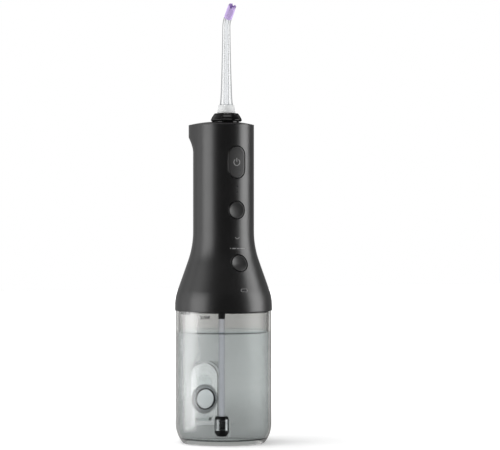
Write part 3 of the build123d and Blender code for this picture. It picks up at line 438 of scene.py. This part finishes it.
def water_line():
    """The line where the water meets the wall, dark where it is seen square on: painted shade for
    the light that the meniscus bends away.
    """
    material, tree, out = blank("water_line")
    share = calc(tree, "MAXIMUM", edge_share(tree, 1.5), far_side(tree))
    colour = mixed(tree, share, (0.09, 0.11, 0.115), (0.93, 0.95, 0.955))
    window = add(tree, "BsdfTransparent", Color=colour)
    tree.links.new(window.outputs[0], out.inputs[0])
    return material


def cloudy(name, colour, seen, roughness, edge_tint, edge_power=1.0, **more):
    """Milky silicone or frosted plastic that lets a share of the light straight on."""
    material, tree, out = blank(name)
    cloud = noise(tree, 120)
    toward_outline = edge_share(tree, edge_power)
    # An edge_tint above 1 paints the outline lighter: a painted sheen.
    body = add(
        tree,
        "BsdfPrincipled",
        Base_Color=mixed(tree, toward_outline, colour, [c * edge_tint for c in colour]),
        Roughness=between(tree, cloud, roughness * 0.9, roughness * 1.1),
        **more,
    )
    rim = mixed(tree, toward_outline, (1, 1, 1), [min(edge_tint, 1)] * 3)
    window = add(tree, "BsdfTransparent", Color=rim)
    share = between(tree, cloud, seen * 0.92, seen * 1.08)
    both = add(tree, "MixShader", i0=share, i1=body.outputs[0], i2=window.outputs[0])
    tree.links.new(both.outputs[0], out.inputs[0])
    return material


# ---- finishes by material slot -----------------------------------------------------------

SATIN = (0.0052, 0.0051, 0.0053)
GLEAM = {"Specular_IOR_Level": 1.0}
finishes = {
    "tank_clear": clear(
        "tank_clear",
        (0.713, 0.713, 0.707),
        (0.34, 0.34, 0.33),
        roughness=0.42,
        mirror=0.04,
        rim=0.5,
        edge_power=3.5,
        plain=wet_wall,
        dark=foot_line,
        shade=wall_tint_and_recess_light,
    ),
    "cap_clear": clear(
        "cap_clear",
        (0.96, 0.97, 0.97),
        (0.60, 0.61, 0.61),
        mirror=0.02,
        edge_power=5.0,
        dark=cap_ring,
        dark_tint=(0.60, 0.61, 0.62),
        shade=disc_shade,
    ),
    "seal_rubber": moulded("seal_rubber", (0.05, 0.05, 0.055), 0.55),
    "steel": metal("steel", (0.62, 0.62, 0.63), 0.28),
    "housing_black": moulded("housing_black", SATIN, 0.34, relief=0.005, **GLEAM),
    "cover_black": moulded("cover_black", SATIN, 0.38, relief=0.005, **GLEAM),
    "plate_black": moulded("plate_black", (0.003, 0.003, 0.0033), 0.35),
    "silicone_clear": cloudy(
        "silicone_clear",
        (0.78, 0.785, 0.82),
        0.36,
        0.25,
        edge_tint=0.1,
        edge_power=1.4,
        # The emission is painted light: the hose glows to look brighter, though it is no lamp.
        Emission_Color=(0.92, 0.93, 1, 1),
        Emission_Strength=0.4,
    ),
    "weight_bright": metal("weight_bright", (0.78, 0.78, 0.79), 0.24, (1, 1, 20)),
    "weight_black": moulded("weight_black", (0.008, 0.008, 0.009), 0.38),
    "inner_grey": moulded("inner_grey", (0.33, 0.34, 0.35), 0.5),
    "gear_white": moulded("gear_white", (0.78, 0.78, 0.74), 0.35),
    "pinion_brass": metal("pinion_brass", (0.75, 0.58, 0.28), 0.25),
    "motor_steel": metal("motor_steel", (0.58, 0.58, 0.60), 0.32, (1, 1, 25)),
    "cell_wrap": moulded("cell_wrap", (0.05, 0.24, 0.44), 0.28, grain=400),
    "contact_metal": metal("contact_metal", (0.72, 0.72, 0.70), 0.22, (20, 1, 1)),
    "board_green": moulded("board_green", (0.01, 0.13, 0.05), 0.3, vary=0.35, grain=900),
    "component_black": moulded("component_black", (0.025, 0.025, 0.026), 0.4),
    "button_black": moulded(
        "button_black", (0.013, 0.0128, 0.013), 0.38, relief=0.005, **GLEAM
    ),
    "light_lens": moulded("light_lens", (0.03, 0.03, 0.032), 0.25, relief=0.002),
    "cover_rubber": moulded("cover_rubber", (0.016, 0.016, 0.017), 0.55),
    "collar_black": moulded("collar_black", (0.004, 0.004, 0.0042), 0.12, relief=0.001),
    "nozzle_clear": clear(
        "nozzle_clear", (0.965, 0.97, 0.975), (0.1, 0.11, 0.11), rim=0.1, edge_power=2.0
    ),
    "skirt_frosted": cloudy("skirt_frosted", (0.86, 0.87, 0.87), 0.2, 0.45, 0.9),
    # edge_tint 2.0 paints the tip lighter towards its outline: a painted sheen.
    "tip_lavender": cloudy(
        "tip_lavender", (0.35, 0.26, 0.48), 0.04, 0.35, edge_tint=2.0, edge_power=1.2
    ),
}
water_look = clear("water", (0.862, 0.89, 0.9), (0.862, 0.89, 0.9), mirror=0.0, rim=0.0)
water_top_look = clear("water_top", (0.98, 1.0, 1.0), (0.98, 1.0, 1.0), mirror=0.0, rim=0.05)
water_line_look = water_line()
edge_look = clear("stem_edge", (0.80, 0.81, 0.81), (0.40, 0.41, 0.41), edge_power=2.0)
# The bowl's own colour is lighter than the tip's and opaque: painted light that lifts the bowl
# out of its shade.
tip_bowl_light_look = moulded("tip_bowl_painted_light", (0.45, 0.31, 0.65), 0.5, relief=0.003, edge=0)
print_look = moulded("print_grey", (0.22, 0.22, 0.22), 0.5, grain=5000, relief=0.002, edge=0)
mark_look = moulded("fill_mark_grey", (0.03, 0.03, 0.03), 0.5, grain=5000, relief=0.002, edge=0)

for part in frame["record"]["subparts"]:
    node = cad_nodes[part["node"]]
    if not node.material_slots:
        node.data.materials.append(None)
    for slot in node.material_slots:
        slot.material = finishes[part["material_slot"]]
# The cap's pin is clear too, so that it doesn't show as a bar through the tank.
cad_nodes["fill_cap_pin"].material_slots[0].material = finishes["cap_clear"]


# ---- surfaces that marks and buttons follow ---------------------------------------------

BASE_R = 33.0 * MM
NECK_R = 20.7 * MM
FLARE_LOW = 98.6 * MM
FLARE_HIGH = 133.5 * MM
SHOULDER_R = 31.7 * MM
WAIST_R = 60.0 * MM
FLARE_ANGLE = math.atan2(BASE_R - NECK_R, FLARE_HIGH - FLARE_LOW)


def handle_radius(z):
    """Radius of the handle's outside at a height: base, shoulder, flare, waist or neck."""
    shoulder = SHOULDER_R * math.tan(FLARE_ANGLE / 2)
    waist = WAIST_R * math.tan(FLARE_ANGLE / 2)
    below = FLARE_LOW - shoulder
    above = FLARE_HIGH + waist
    if z < below:
        return BASE_R
    if z < FLARE_LOW + shoulder * math.cos(FLARE_ANGLE):
        return BASE_R - SHOULDER_R + math.sqrt(SHOULDER_R**2 - (z - below) ** 2)
    if z < FLARE_HIGH - waist * math.cos(FLARE_ANGLE):
        return BASE_R - (z - FLARE_LOW) * math.tan(FLARE_ANGLE)
    if z < above:
        return NECK_R + WAIST_R - math.sqrt(WAIST_R**2 - (z - above) ** 2)
    return NECK_R


class Patch:
    """A small area on the front or the back of a round surface, with its own across and up."""

    def __init__(self, radius_at, z, tilt=0.0, front=True):
        side = -1 if front else 1
        self.radius_at = radius_at
        self.across = Vector((-side, 0, 0))
        self.up = Vector((0, -side * math.sin(tilt), math.cos(tilt)))
        self.out = Vector((0, side * math.cos(tilt), math.sin(tilt)))
        self.origin = Vector((0, side * radius_at(z), z))

    def flat(self, across, up, rise):
        """A point at a height over the patch's own plane."""
        return self.origin + self.across * across + self.up * up + self.out * rise

    def point(self, across, up, rise):
        """A point that stands rise over the round surface."""
        lift = 0.0
        for _ in range(6):
            at = self.flat(across, up, lift)
            lift += self.radius_at(at.z) - math.hypot(at.x, at.y)
        return self.flat(across, up, lift + rise)


def ribbon(patch, path, width, thick=0.05 * MM, closed=False):
    """Points and faces of a thin printed line through (across, up) points."""
    rings = []
    count = len(path)
    for i, (across, up) in enumerate(path):
        before = path[i - 1] if i or closed else path[i]
        after = path[(i + 1) % count] if i < count - 1 or closed else path[i]
        run = Vector((after[0] - before[0], after[1] - before[1])).normalized()
        side = Vector((-run.y, run.x)) * width / 2
        rings.append([
            patch.point(across + side.x, up + side.y, -thick),
            patch.point(across - side.x, up - side.y, -thick),
            patch.point(across - side.x, up - side.y, thick),
            patch.point(across + side.x, up + side.y, thick),
        ])
    return skin(rings, closed)


def arc_path(radius, start, end, count=24, centre=(0, 0)):
    """(across, up) points on an arc, in degrees."""
    return [
        (
            centre[0] + radius * math.cos(math.radians(start + (end - start) * k / count)),
            centre[1] + radius * math.sin(math.radians(start + (end - start) * k / count)),
        )
        for k in range(count + 1)
    ]


def line_path(start, end, count=6):
    """(across, up) points on a straight line."""
    return [
        (
            start[0] + (end[0] - start[0]) * k / count,
            start[1] + (end[1] - start[1]) * k / count,
        )
        for k in range(count + 1)
    ]


# ---- buttons ---------------------------------------------------------------------------

BUTTON_GAP = 0.5 * MM
BUTTON_RIM = 0.45 * MM
BUTTON_FLANGE = 0.7 * MM
FLANGE_THICK = 1.2 * MM
STEM_R = 1.8 * MM
POWER_Z = 190.3 * MM
PRESSURE_Z = 158.1 * MM
MODE_Z = 122.5 * MM
POWER_HALF = 6.55 * MM
POWER_DISH = 0.55 * MM
POWER_STRAIGHT = 4.65 * MM
ROUND_HALF = 6.25 * MM
ROUND_SINK = 0.15 * MM
ROUND_DISH = 1.15 * MM

power_patch = Patch(handle_radius, POWER_Z)
pressure_patch = Patch(handle_radius, PRESSURE_Z)
mode_patch = Patch(handle_radius, MODE_Z, FLARE_ANGLE)


def capsule(half, straight, count=120):
    """An upright capsule outline, as (across, up) pairs."""
    outline = []
    for k in range(count):
        angle = TURN * (k + 0.5) / count
        end = math.copysign(straight, math.sin(angle))
        outline.append((half * math.cos(angle), half * math.sin(angle) + end))
    return outline


def button(node, patch, hole, straight, sink, dish, depth, stem):
    """A cap with a rounded rim over a flat or hollow face, its inner flange and its stem.

    hole and straight give the housing's opening. depth is how far the cap reaches in, and stem
    how far its stem does.
    """
    half = hole - BUTTON_GAP
    behind = -depth - FLANGE_THICK
    flange = hole + BUTTON_FLANGE
    rings = []
    for width, run, rise in (
        (STEM_R, 0, -stem),
        (STEM_R, 0, behind),
        (flange, straight, behind),
        (flange, straight, -depth),
        (half, straight, -depth),
    ):
        rings.append([patch.flat(a, u, rise) for a, u in capsule(width, run)])
    inner = half - BUTTON_RIM
    for k in range(9):
        turn = math.pi / 2 * k / 8
        width = half - BUTTON_RIM * (1 - math.cos(turn))
        rise = -sink - BUTTON_RIM * (1 - math.sin(turn))
        rings.append([patch.point(a, u, rise) for a, u in capsule(width, straight)])
    for k in range(1, 15):
        share = k / 14
        width = inner * (1 - 0.98 * share)
        rise = -sink - dish * (1 - (width / inner) ** 2)
        rings.append([patch.point(a, u, rise) for a, u in capsule(width, straight)])
    points, faces = skin(rings)
    look = finishes["button_black"]
    new_piece(node + "_cap", points, faces, look, node, "button_black", [node], 50)


for node, patch, hole, straight, sink, dish, depth, stem in (
    ("power_button", power_patch, POWER_HALF, POWER_STRAIGHT, 0, POWER_DISH, 3.6, 5.1),
    ("pressure_button", pressure_patch, ROUND_HALF, 0, ROUND_SINK, ROUND_DISH, 3.4, 5.1),
    ("mode_button", mode_patch, ROUND_HALF, 0, ROUND_SINK, ROUND_DISH, 3.6, 9.2),
):
    button(node, patch, hole, straight, sink, dish, depth * MM, stem * MM)


# ---- printed marks on the front ---------------------------------------------------------


class Raised(Patch):
    """A patch whose marks also follow a face that is sunk under the round surface."""

    def __init__(self, patch, drop):
        self.radius_at = patch.radius_at
        self.across, self.up, self.out = patch.across, patch.up, patch.out
        self.origin = patch.origin
        self.drop = drop

    def point(self, across, up, rise):
        return Patch.point(self, across, up, rise - self.drop(across, up))


def power_drop(across, _up):
    """How far the power button's face lies under the neck's surface."""
    inner = POWER_HALF - BUTTON_GAP - BUTTON_RIM
    return POWER_DISH * (1 - min(abs(across) / inner, 1) ** 2)


ICON_R = 2.2 * MM
ICON_LINE = 0.5 * MM
BATTERY_Z = 104.4 * MM
BATTERY_HALF = (2.15 * MM, 1.0 * MM)
BATTERY_CORNER = 0.35 * MM
DROP_Z = 139.7 * MM
LABEL_Z = 132.3 * MM
THIN_LINE = 0.35 * MM

icon_face = Raised(power_patch, power_drop)
icon = gathered([
    ribbon(icon_face, arc_path(ICON_R, 125, 415, 40), ICON_LINE),
    ribbon(icon_face, line_path((0, 0.3 * MM), (0, 2.95 * MM)), ICON_LINE),
])
new_piece("power_icon", *icon, print_look, "power_button", sharp=30)

battery_patch = Patch(handle_radius, BATTERY_Z, FLARE_ANGLE)
outline = []
for x, y, start in ((1, 1, 0), (-1, 1, 90), (-1, -1, 180), (1, -1, 270)):
    centre = [
        sign * (half - BATTERY_CORNER) for sign, half in zip((x, y), BATTERY_HALF)
    ]
    outline += arc_path(BATTERY_CORNER, start, start + 90, 5, centre)
pole = line_path((2.5 * MM, -0.45 * MM), (2.5 * MM, 0.45 * MM))
battery_icon = gathered([
    ribbon(battery_patch, outline, 0.28 * MM, closed=True),
    ribbon(battery_patch, pole, THIN_LINE),
])
new_piece("battery_icon", *battery_icon, print_look, "handle", sharp=30)

label_patch = Patch(handle_radius, LABEL_Z)
dashes = []
for start, end in ((-5.6, -4.9), (-4.1, -1.6), (-1.0, 1.2), (1.8, 5.4)):
    dashes.append(ribbon(label_patch, line_path((start * MM, 0), (end * MM, 0)), 0.7 * MM))
drop_arc = arc_path(1.6 * MM, 200, 340, 16, (0, 0.8 * MM))
dashes.append(ribbon(Patch(handle_radius, DROP_Z), drop_arc, THIN_LINE))
new_piece("mode_marks", *gathered(dashes), print_look, "handle", sharp=30)


# ---- fill mark on the back of the tank ---------------------------------------------------

FILL_Z = 83.7 * MM
STROKE = 0.5 * MM
MARK_ACROSS = -1.4
MARK_TALL = 1.25

fill_patch = Patch(lambda z: TANK_R, FILL_Z, front=False)
strokes = (
    ((-3.4, -1.0), (-3.4, 1.0)),
    ((-3.4, 1.0), (-2.5, -0.6)),
    ((-2.5, -0.6), (-1.6, 1.0)),
    ((-1.6, 1.0), (-1.6, -1.0)),
    ((-1.0, -1.0), (0.0, 1.0)),
    ((0.0, 1.0), (1.0, -1.0)),
    ((-0.6, -0.35), (0.6, -0.35)),
    ((1.5, -1.0), (3.3, 1.0)),
    ((1.5, 1.0), (3.3, -1.0)),
)
letters = []
for start, end in strokes:
    ends = [((x + MARK_ACROSS) * MM, y * MARK_TALL * MM) for x, y in (start, end)]
    run = line_path(*ends)
    letters.append(ribbon(fill_patch, run, STROKE))
new_piece("fill_mark", *gathered(letters), mark_look, "tank", sharp=30)


# ---- water -----------------------------------------------------------------------------

WATER_R = 30.64 * MM
MENISCUS = 1.2 * MM
FLOOR_Z = 2.66 * MM
CORNER_R = 18.24 * MM
WATER_LINE = (75.05 * MM, 75.75 * MM)
MENISCUS_DEPTH = 2.2 * MM
PAD_FACE = 26.94 * MM
PAD_HALF = 12.06 * MM
PAD_ARCH_Z = 42.2 * MM

low_turn = math.asin((TANK_CORNER[1] - FLOOR_Z) / CORNER_R)
profile = [(r * MM, FLOOR_Z) for r in (0.3, 8, 16, 23)]
for k in range(15):
    turn = -low_turn * (1 - k / 14)
    profile.append((
        TANK_CORNER[0] + CORNER_R * math.cos(turn),
        TANK_CORNER[1] + CORNER_R * math.sin(turn),
    ))
profile += [(WATER_R, z * MM) for z in (25, 40, 55, 70)]
profile += [(WATER_R, z) for z in WATER_LINE]
for k in range(9):
    share = k / 8
    rise = MENISCUS * (1 - share) ** 2.4
    profile.append((WATER_R - MENISCUS_DEPTH * share, WATER_TOP + rise))
profile += [(r * MM, WATER_TOP) for r in (20, 10, 0.3)]
points, faces = skin(lathe_rings(profile, (0, 0), 128))
water = new_piece("water", points, faces, water_look, None)

pad = [(-PAD_HALF, -5 * MM), (PAD_HALF, -5 * MM)]
pad += [(x, z + PAD_ARCH_Z) for x, z in arc_path(PAD_HALF, 0, 180, 40)]
rings = [[Vector((x, y, z)) for x, z in pad] for y in (PAD_FACE, 40 * MM)]
cutter = new_piece("water_cutter", *skin(rings), water_look, None)
cut = water.modifiers.new("cut", "BOOLEAN")
cut.operation = "DIFFERENCE"
cut.solver = "EXACT"
cut.object = cutter
view = bpy.context.evaluated_depsgraph_get()
shaped = bpy.data.meshes.new_from_object(water.evaluated_get(view))
water.modifiers.clear()
water.data = shaped
water.data.name = "water"
shaped.set_sharp_from_angle(angle=math.radians(35))
shaped.materials.append(water_top_look)
shaped.materials.append(water_line_look)
for face in shaped.polygons:
    if face.normal.z > 0.5 and face.center.z > WATER_TOP - MM:
        face.material_index = 1
    # The water line's faces get the painted shade.
    elif WATER_LINE[0] < face.center.z < WATER_LINE[1]:
        face.material_index = 2
bpy.data.objects.remove(cutter)
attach(water, "tank")


# ---- suction hose ----------------------------------------------------------------------

HOSE_R = 2.1 * MM
HOSE_BORE_R = 1.4 * MM
HOSE_Y = 2.9 * MM
HOSE_HIGH = 84.0 * MM
HOSE_LOW = 17.6 * MM

route = [
    Vector((0, HOSE_Y, HOSE_HIGH + (HOSE_LOW - HOSE_HIGH) * k / 60)) for k in range(61)
]
walls = [(HOSE_R, p.z) for p in route] + [(HOSE_BORE_R, p.z) for p in reversed(route)]
points, faces = skin(lathe_rings(walls, (0, HOSE_Y), 32), loop=True)
hose = new_piece(
    "hose", points, faces, finishes["silicone_clear"], None, "silicone_clear", ["suction_hose"]
)
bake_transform(hose)


# ---- collar ----------------------------------------------------------------------------

NOZZLE_Y = -4.3 * MM
PANELS = 6
FIRST_PANEL = math.radians(-117)
PANEL_HALF = math.radians(21.5)
PANEL_DEPTH = 0.5 * MM
PANEL_LOW = 219.35 * MM
PANEL_HIGH = 223.0 * MM
PANEL_SOFT = math.radians(0.6)
PANEL_FADE = 0.3 * MM


def collar_radius(r, z, angle):
    """Radius of the collar's outside with its broad sunk panels."""
    if r < 8 * MM or z < 219 * MM:
        return r
    pitch = TURN / PANELS
    off = abs((angle - FIRST_PANEL + pitch / 2) % pitch - pitch / 2)
    side = 1 - smooth_step(PANEL_HALF - PANEL_SOFT, PANEL_HALF + PANEL_SOFT, off)
    rise = smooth_step(PANEL_LOW, PANEL_LOW + PANEL_FADE, z)
    fall = 1 - smooth_step(PANEL_HIGH - PANEL_FADE, PANEL_HIGH, z)
    return r - PANEL_DEPTH * side * rise * fall


def drawn(corners):
    """A rounded outline from corners in millimetres."""
    return rounded([tuple(c * MM for c in corner) for corner in corners])


profile = drawn((
    (3.4, 213.2, 0),
    (9.3, 213.2, 0.15),
    (9.3, 214.2, 0.15),
    (8.6, 214.2, 0),
    (8.6, 218.15, 0),
    (9.8, 218.15, 0.3),
    (10.7, 219.0, 0.4),
    (9.75, 221.1, 1.5),
    (8.0, 223.7, 0.5),
    (3.4, 223.7, 0),
))
# The flank gets close rings, so that the sunk panels have clean ends.
dense = []
for i, here in enumerate(profile):
    dense.append(here)
    ahead = profile[(i + 1) % len(profile)]
    parts = int((ahead - here).length / (0.12 * MM))
    if min(here.x, ahead.x) > 7.5 * MM and here.y > 218.6 * MM:
        dense += [here.lerp(ahead, k / parts) for k in range(1, parts)]
rings = lathe_rings(dense, (0, NOZZLE_Y), 360, collar_radius)
points, faces = skin(rings, loop=True)
look = finishes["collar_black"]
new_piece("collar", points, faces, look, "collar", "collar_black", ["nozzle_collar"], 40)


# ---- nozzle stem -----------------------------------------------------------------------

BEND_Z = 282.4 * MM
BEND_R = 8.0 * MM
BEND = math.radians(40)
SPIGOT = 7.0 * MM
STEM_TOP_R = 2.65 * MM
STEM_BORE_R = 1.35 * MM
STEM_FOOT_BORE_R = 2.1 * MM
SPIGOT_R = 1.75 * MM
SHANK_LOW = 201.0 * MM
STEM_MARK_Z = 242.2 * MM
TIP_FOOT = 1.0 * MM

bend_end = Vector((
    0,
    NOZZLE_Y - BEND_R * (1 - math.cos(BEND)),
    BEND_Z + BEND_R * math.sin(BEND),
))
tip_axis = Vector((0, -math.sin(BEND), math.cos(BEND)))
tip_side = Vector((0, math.cos(BEND), math.sin(BEND)))


def stem_ring(radius, along, segments=64):
    """A ring across the nozzle, at a height below the bend or a length past its start."""
    if along <= BEND_Z:
        centre, side = Vector((0, NOZZLE_Y, along)), Vector((0, 1, 0))
    else:
        past = along - BEND_Z
        turn = min(past / BEND_R, BEND)
        centre = Vector((
            0,
            NOZZLE_Y - BEND_R * (1 - math.cos(turn)),
            BEND_Z + BEND_R * math.sin(turn),
        ))
        side = Vector((0, math.cos(turn), math.sin(turn)))
        centre += tip_axis * max(past - BEND_R * BEND, 0)
    ring = []
    for k in range(segments):
        angle = TURN * k / segments
        spoke = Vector((math.cos(angle), 0, 0)) + side * math.sin(angle)
        ring.append(centre + spoke * radius)
    return ring


def taper(z):
    """Radius of the stem's outside between its flange and its bend."""
    heights = (229.3, 231.5, 237.0, 249.0, 265.5, 282.4)
    radii = (4.45, 4.12, 3.75, 3.35, 2.93, 2.65)
    for i in range(len(heights) - 1):
        low, high = heights[i] * MM, heights[i + 1] * MM
        if z <= high:
            share = max((z - low) / (high - low), 0)
            return (radii[i] * (1 - share) + radii[i + 1] * share) * MM
    return radii[-1] * MM


tip_start = BEND_Z + BEND_R * BEND
outside = [
    (3.2, 201.0),
    (3.3, 201.2),
    (3.3, 223.7),
    (4.5, 223.8),
    (4.6, 223.9),
    (4.45, 229.15),
    (4.35, 229.35),
]
stations = [(r * MM, z * MM) for r, z in outside]
stations += [(taper(z * MM), z * MM) for z in (230, 231, 232, 233.5, 235, 237)]
stations += [(taper(z * MM), z * MM) for z in range(239, 283, 2)]
stations += [(STEM_TOP_R, BEND_Z + BEND_R * BEND * k / 10) for k in range(11)]
stations += [(STEM_TOP_R, tip_start + TIP_FOOT)]
stations += [(SPIGOT_R, tip_start + TIP_FOOT + d * MM) for d in (0.001, 3.0, 5.9)]
inside = [(STEM_BORE_R, tip_start + SPIGOT), (STEM_BORE_R, tip_start)]
inside += [(STEM_BORE_R, BEND_Z + BEND_R * BEND * k / 10) for k in range(9, -1, -1)]
for k in range(1, 21):
    share = k / 20
    inside.append((
        STEM_BORE_R + (STEM_FOOT_BORE_R - STEM_BORE_R) * share,
        BEND_Z + (SHANK_LOW - BEND_Z) * share,
    ))
rings = [stem_ring(r, along) for r, along in stations + inside]
points, faces = skin(rings, loop=True)
new_piece(
    "stem", points, faces, finishes["nozzle_clear"], "nozzle", "nozzle_clear", ["nozzle_stem"], 35
)

circle = arc_path(1.15 * MM, 0, 345, 23)
points, faces = ribbon(Patch(taper, STEM_MARK_Z), circle, 0.3 * MM, closed=True)
points = [p + Vector((0, NOZZLE_Y, 0)) for p in points]
new_piece("stem_mark", points, faces, finishes["nozzle_clear"], "nozzle")

foot_ring = arc_path(0.2 * MM, 0, 330, 11, (4.42 * MM, 229.45 * MM))
points, faces = skin(lathe_rings(foot_ring, (0, NOZZLE_Y), 64), loop=True)
new_piece("stem_foot", points, faces, edge_look, "nozzle")


# ---- skirt and tip ---------------------------------------------------------------------

profile = drawn((
    (4.65, 223.8, 0),
    (6.2, 223.8, 0.25),
    (6.05, 225.4, 0.4),
    (5.3, 229.3, 0.3),
    (4.65, 229.3, 0),
))
points, faces = skin(lathe_rings(profile, (0, NOZZLE_Y), 96), loop=True)
look = finishes["skirt_frosted"]
new_piece("skirt", points, faces, look, "nozzle", "skirt_frosted", ["nozzle_skirt"], 40)

TIP_R = 2.75 * MM
TIP_LENGTH = 11.4 * MM
TIP_BORE_R = 0.6 * MM
TIP_CREST_R = 2.25 * MM
TIP_BOWL = 2.8 * MM
TIP_NOTCH = 1.4 * MM
TIP_ROUNDING = 0.9 * MM
TIP_END_R = TIP_R * 0.97
SOCKET_R = 1.8 * MM
SOCKET_TOP = 7.1 * MM


def lobe_height(radius, angle):
    """Height of the tip's end: a thin wall round a bowl, cut into four lobes at 45 degrees."""
    x, y = radius * math.cos(angle), radius * math.sin(angle)
    nearest = min(abs(x - y), abs(x + y)) / math.sqrt(2)
    lobe = smooth_step(0.15 * MM, 0.95 * MM, nearest)
    wall = smooth_step(1.55 * MM, 2.05 * MM, radius)
    outer = max(radius - TIP_CREST_R, 0) / MM
    inner = max(TIP_CREST_R - radius, 0) / MM * wall
    notch = TIP_NOTCH * (1 - lobe) * wall
    return TIP_LENGTH - notch - TIP_BOWL * (1 - wall) - TIP_ROUNDING * (outer**2 + inner**2)


def tip_ring(radius_height, segments=160):
    """A ring across the tip. radius_height gives radius and height from the angle."""
    ring = []
    for k in range(segments):
        angle = TURN * k / segments
        radius, height = radius_height(angle)
        spoke = Vector((math.cos(angle), 0, 0)) + tip_side * math.sin(angle)
        ring.append(bend_end + spoke * radius + tip_axis * height)
    return ring


def tip_wall(share):
    """A ring on the tip's outside, share of the way up to its end."""
    return tip_ring(lambda angle: (
        TIP_R * (1 - 0.03 * smooth_step(0.75, 1, share)),
        lobe_height(TIP_END_R, angle) * share,
    ))


tip_low = TIP_FOOT + 0.02 * MM
rings = [tip_ring(lambda angle: (TIP_R - 0.25 * MM, tip_low))]
rings += [tip_ring(lambda angle: (TIP_R - 0.06 * MM, TIP_FOOT + 0.08 * MM))]
rings += [tip_wall(share) for share in (0.12, 0.25, 0.4, 0.6, 0.75, 0.85, 0.92, 0.97, 1.0)]
for k in range(1, 41):
    radius = TIP_END_R + (TIP_BORE_R - TIP_END_R) * k / 40
    rings.append(tip_ring(lambda angle: (radius, lobe_height(radius, angle))))
rings.append(tip_ring(lambda angle: (TIP_BORE_R, SOCKET_TOP)))
rings.append(tip_ring(lambda angle: (SOCKET_R, SOCKET_TOP)))
rings.append(tip_ring(lambda angle: (SOCKET_R, tip_low)))
points, faces = skin(rings, loop=True)
look = finishes["tip_lavender"]
tip = new_piece("tip", points, faces, look, "nozzle", "tip_lavender", ["nozzle_tip"], 40)
# The bowl's faces get the lighter colour, painted light against the bowl's shade.
tip.data.materials.append(tip_bowl_light_look)
bowl_low, bowl_r = SOCKET_TOP + 0.1 * MM, 1.95 * MM
for face in tip.data.polygons:
    arm = face.center - bend_end
    height = arm.dot(tip_axis)
    if height > bowl_low and (arm - tip_axis * height).length < bowl_r:
        face.material_index = 1


# ---- room, lights and camera -------------------------------------------------------------

scene = bpy.context.scene
scene.view_settings.view_transform = "Standard"
scene.cycles.transparent_max_bounces = 32

VIEW = math.radians(-27)
CAMERA_AWAY = 1.644
CAMERA_RISE = 0.008
AIM_RIGHT = 0.018
AIM_HIGH = 0.148
FLOOR_HALF = 3.0
FLOOR_THICK = 0.02

toward = Vector((math.sin(VIEW), -math.cos(VIEW), 0))
right = Vector((math.cos(VIEW), math.sin(VIEW), 0))

world = bpy.data.worlds.new("studio")
scene.world = world
world.use_nodes = True
tree = world.node_tree
tree.nodes.clear()
seen = add(tree, "LightPath").outputs["Is Camera Ray"]
away = add(tree, "TexCoord").outputs["Generated"]
glow_side = (-toward - right * 0.9).normalized()
behind = add(tree, "VectorMath", {"operation": "DOT_PRODUCT"}, i0=away, i1=glow_side)
facing = behind.outputs["Value"]
glow = add(tree, "MapRange", Value=facing, From_Min=-0.5, To_Min=0.04, To_Max=0.42)
dim = add(tree, "Background", Color=(1, 1, 1, 1), Strength=glow.outputs[0])
pale = add(tree, "Background", Color=(1, 1, 1, 1), Strength=1.0)
both = add(tree, "MixShader", i0=seen, i1=dim.outputs[0], i2=pale.outputs[0])
tree.links.new(both.outputs[0], tree.nodes.new("ShaderNodeOutputWorld").inputs[0])

floor_look, tree, out = blank("floor_white")
grain = between(tree, noise(tree, 60), 0.78, 0.82)
colour = add(tree, "CombineColor", Red=grain, Green=grain, Blue=grain)
# The floor glows less near the object, so that the contact shadow shows.
away = add(tree, "TexCoord").outputs["Object"]
reach = add(tree, "VectorMath", {"operation": "LENGTH"}, i0=away)
spread = add(
    tree,
    "MapRange",
    Value=reach.outputs["Value"],
    From_Min=0.15,
    From_Max=0.5,
    To_Min=0.34,
    To_Max=0.95,
)
shader = add(
    tree,
    "BsdfPrincipled",
    Base_Color=colour.outputs[0],
    Roughness=0.7,
    Emission_Color=(1, 1, 1, 1),
    Emission_Strength=spread.outputs[0],
)
tree.links.new(shader.outputs[0], out.inputs[0])
sides = [(x * FLOOR_HALF, y * FLOOR_HALF) for x, y in ((-1, -1), (1, -1), (1, 1), (-1, 1))]
floor_rings = [[(x, y, z) for x, y in sides] for z in (-FLOOR_THICK, 0)]
floor = new_piece("floor", *skin(floor_rings), floor_look, None)
floor.visible_glossy = False


def aim(thing, place, at):
    """Puts a light or camera at a place, looking at a point."""
    thing.location = place
    thing.rotation_euler = (Vector(at) - Vector(place)).to_track_quat("-Z", "Y").to_euler()
    bpy.context.scene.collection.objects.link(thing)


def soft_box(name, degrees, distance, height, size, power):
    """A soft box at an angle from the camera's direction, seen from above."""
    lamp = bpy.data.lights.new(name, "AREA")
    lamp.shape = "RECTANGLE"
    lamp.size, lamp.size_y = size
    lamp.energy = power
    box = bpy.data.objects.new(name, lamp)
    turn = math.radians(degrees)
    place = toward * math.cos(turn) + right * math.sin(turn)
    aim(box, place * distance + Vector((0, 0, height)), (0, 0, 0.14))
    box.visible_camera = False
    return box


left_box = soft_box("left_box", -62, 1.0, 0.2, (0.78, 0.8), 4.3)
rim_box = soft_box("rim_box", -103, 1.0, 0.2, (0.5, 0.8), 0.6)
right_box = soft_box("right_box", 86, 1.0, 0.25, (0.7, 0.9), 6.8)
tank_box = soft_box("tank_box", -88, 1.0, 0.2, (0.75, 1.0), 32.0)
# This one lights the tank only, for the upright gleam on its wall.
lit = bpy.data.collections.new("tank_box_lights")
lit.objects.link(cad_nodes["reservoir"])
tank_box.light_linking.receiver_collection = lit
top_box = soft_box("top_box", 20, 0.15, 1.3, (0.9, 0.9), 3.0)

sun = bpy.data.lights.new("sun", "SUN")
sun.energy = 1.6
sun.angle = math.radians(35)
sun_object = bpy.data.objects.new("sun", sun)
aim(sun_object, -right * 0.3 + toward * 0.05 + Vector((0, 0, 1)), (0, 0, 0))
sun_object.visible_glossy = False

lens = bpy.data.cameras.new("camera")
lens.lens = 174
lens.sensor_width = 36
lens.clip_end = 20
camera = bpy.data.objects.new("camera", lens)
target = right * AIM_RIGHT + Vector((0, 0, AIM_HIGH))
aim(camera, target + toward * CAMERA_AWAY + Vector((0, 0, CAMERA_RISE)), target)
scene.camera = camera
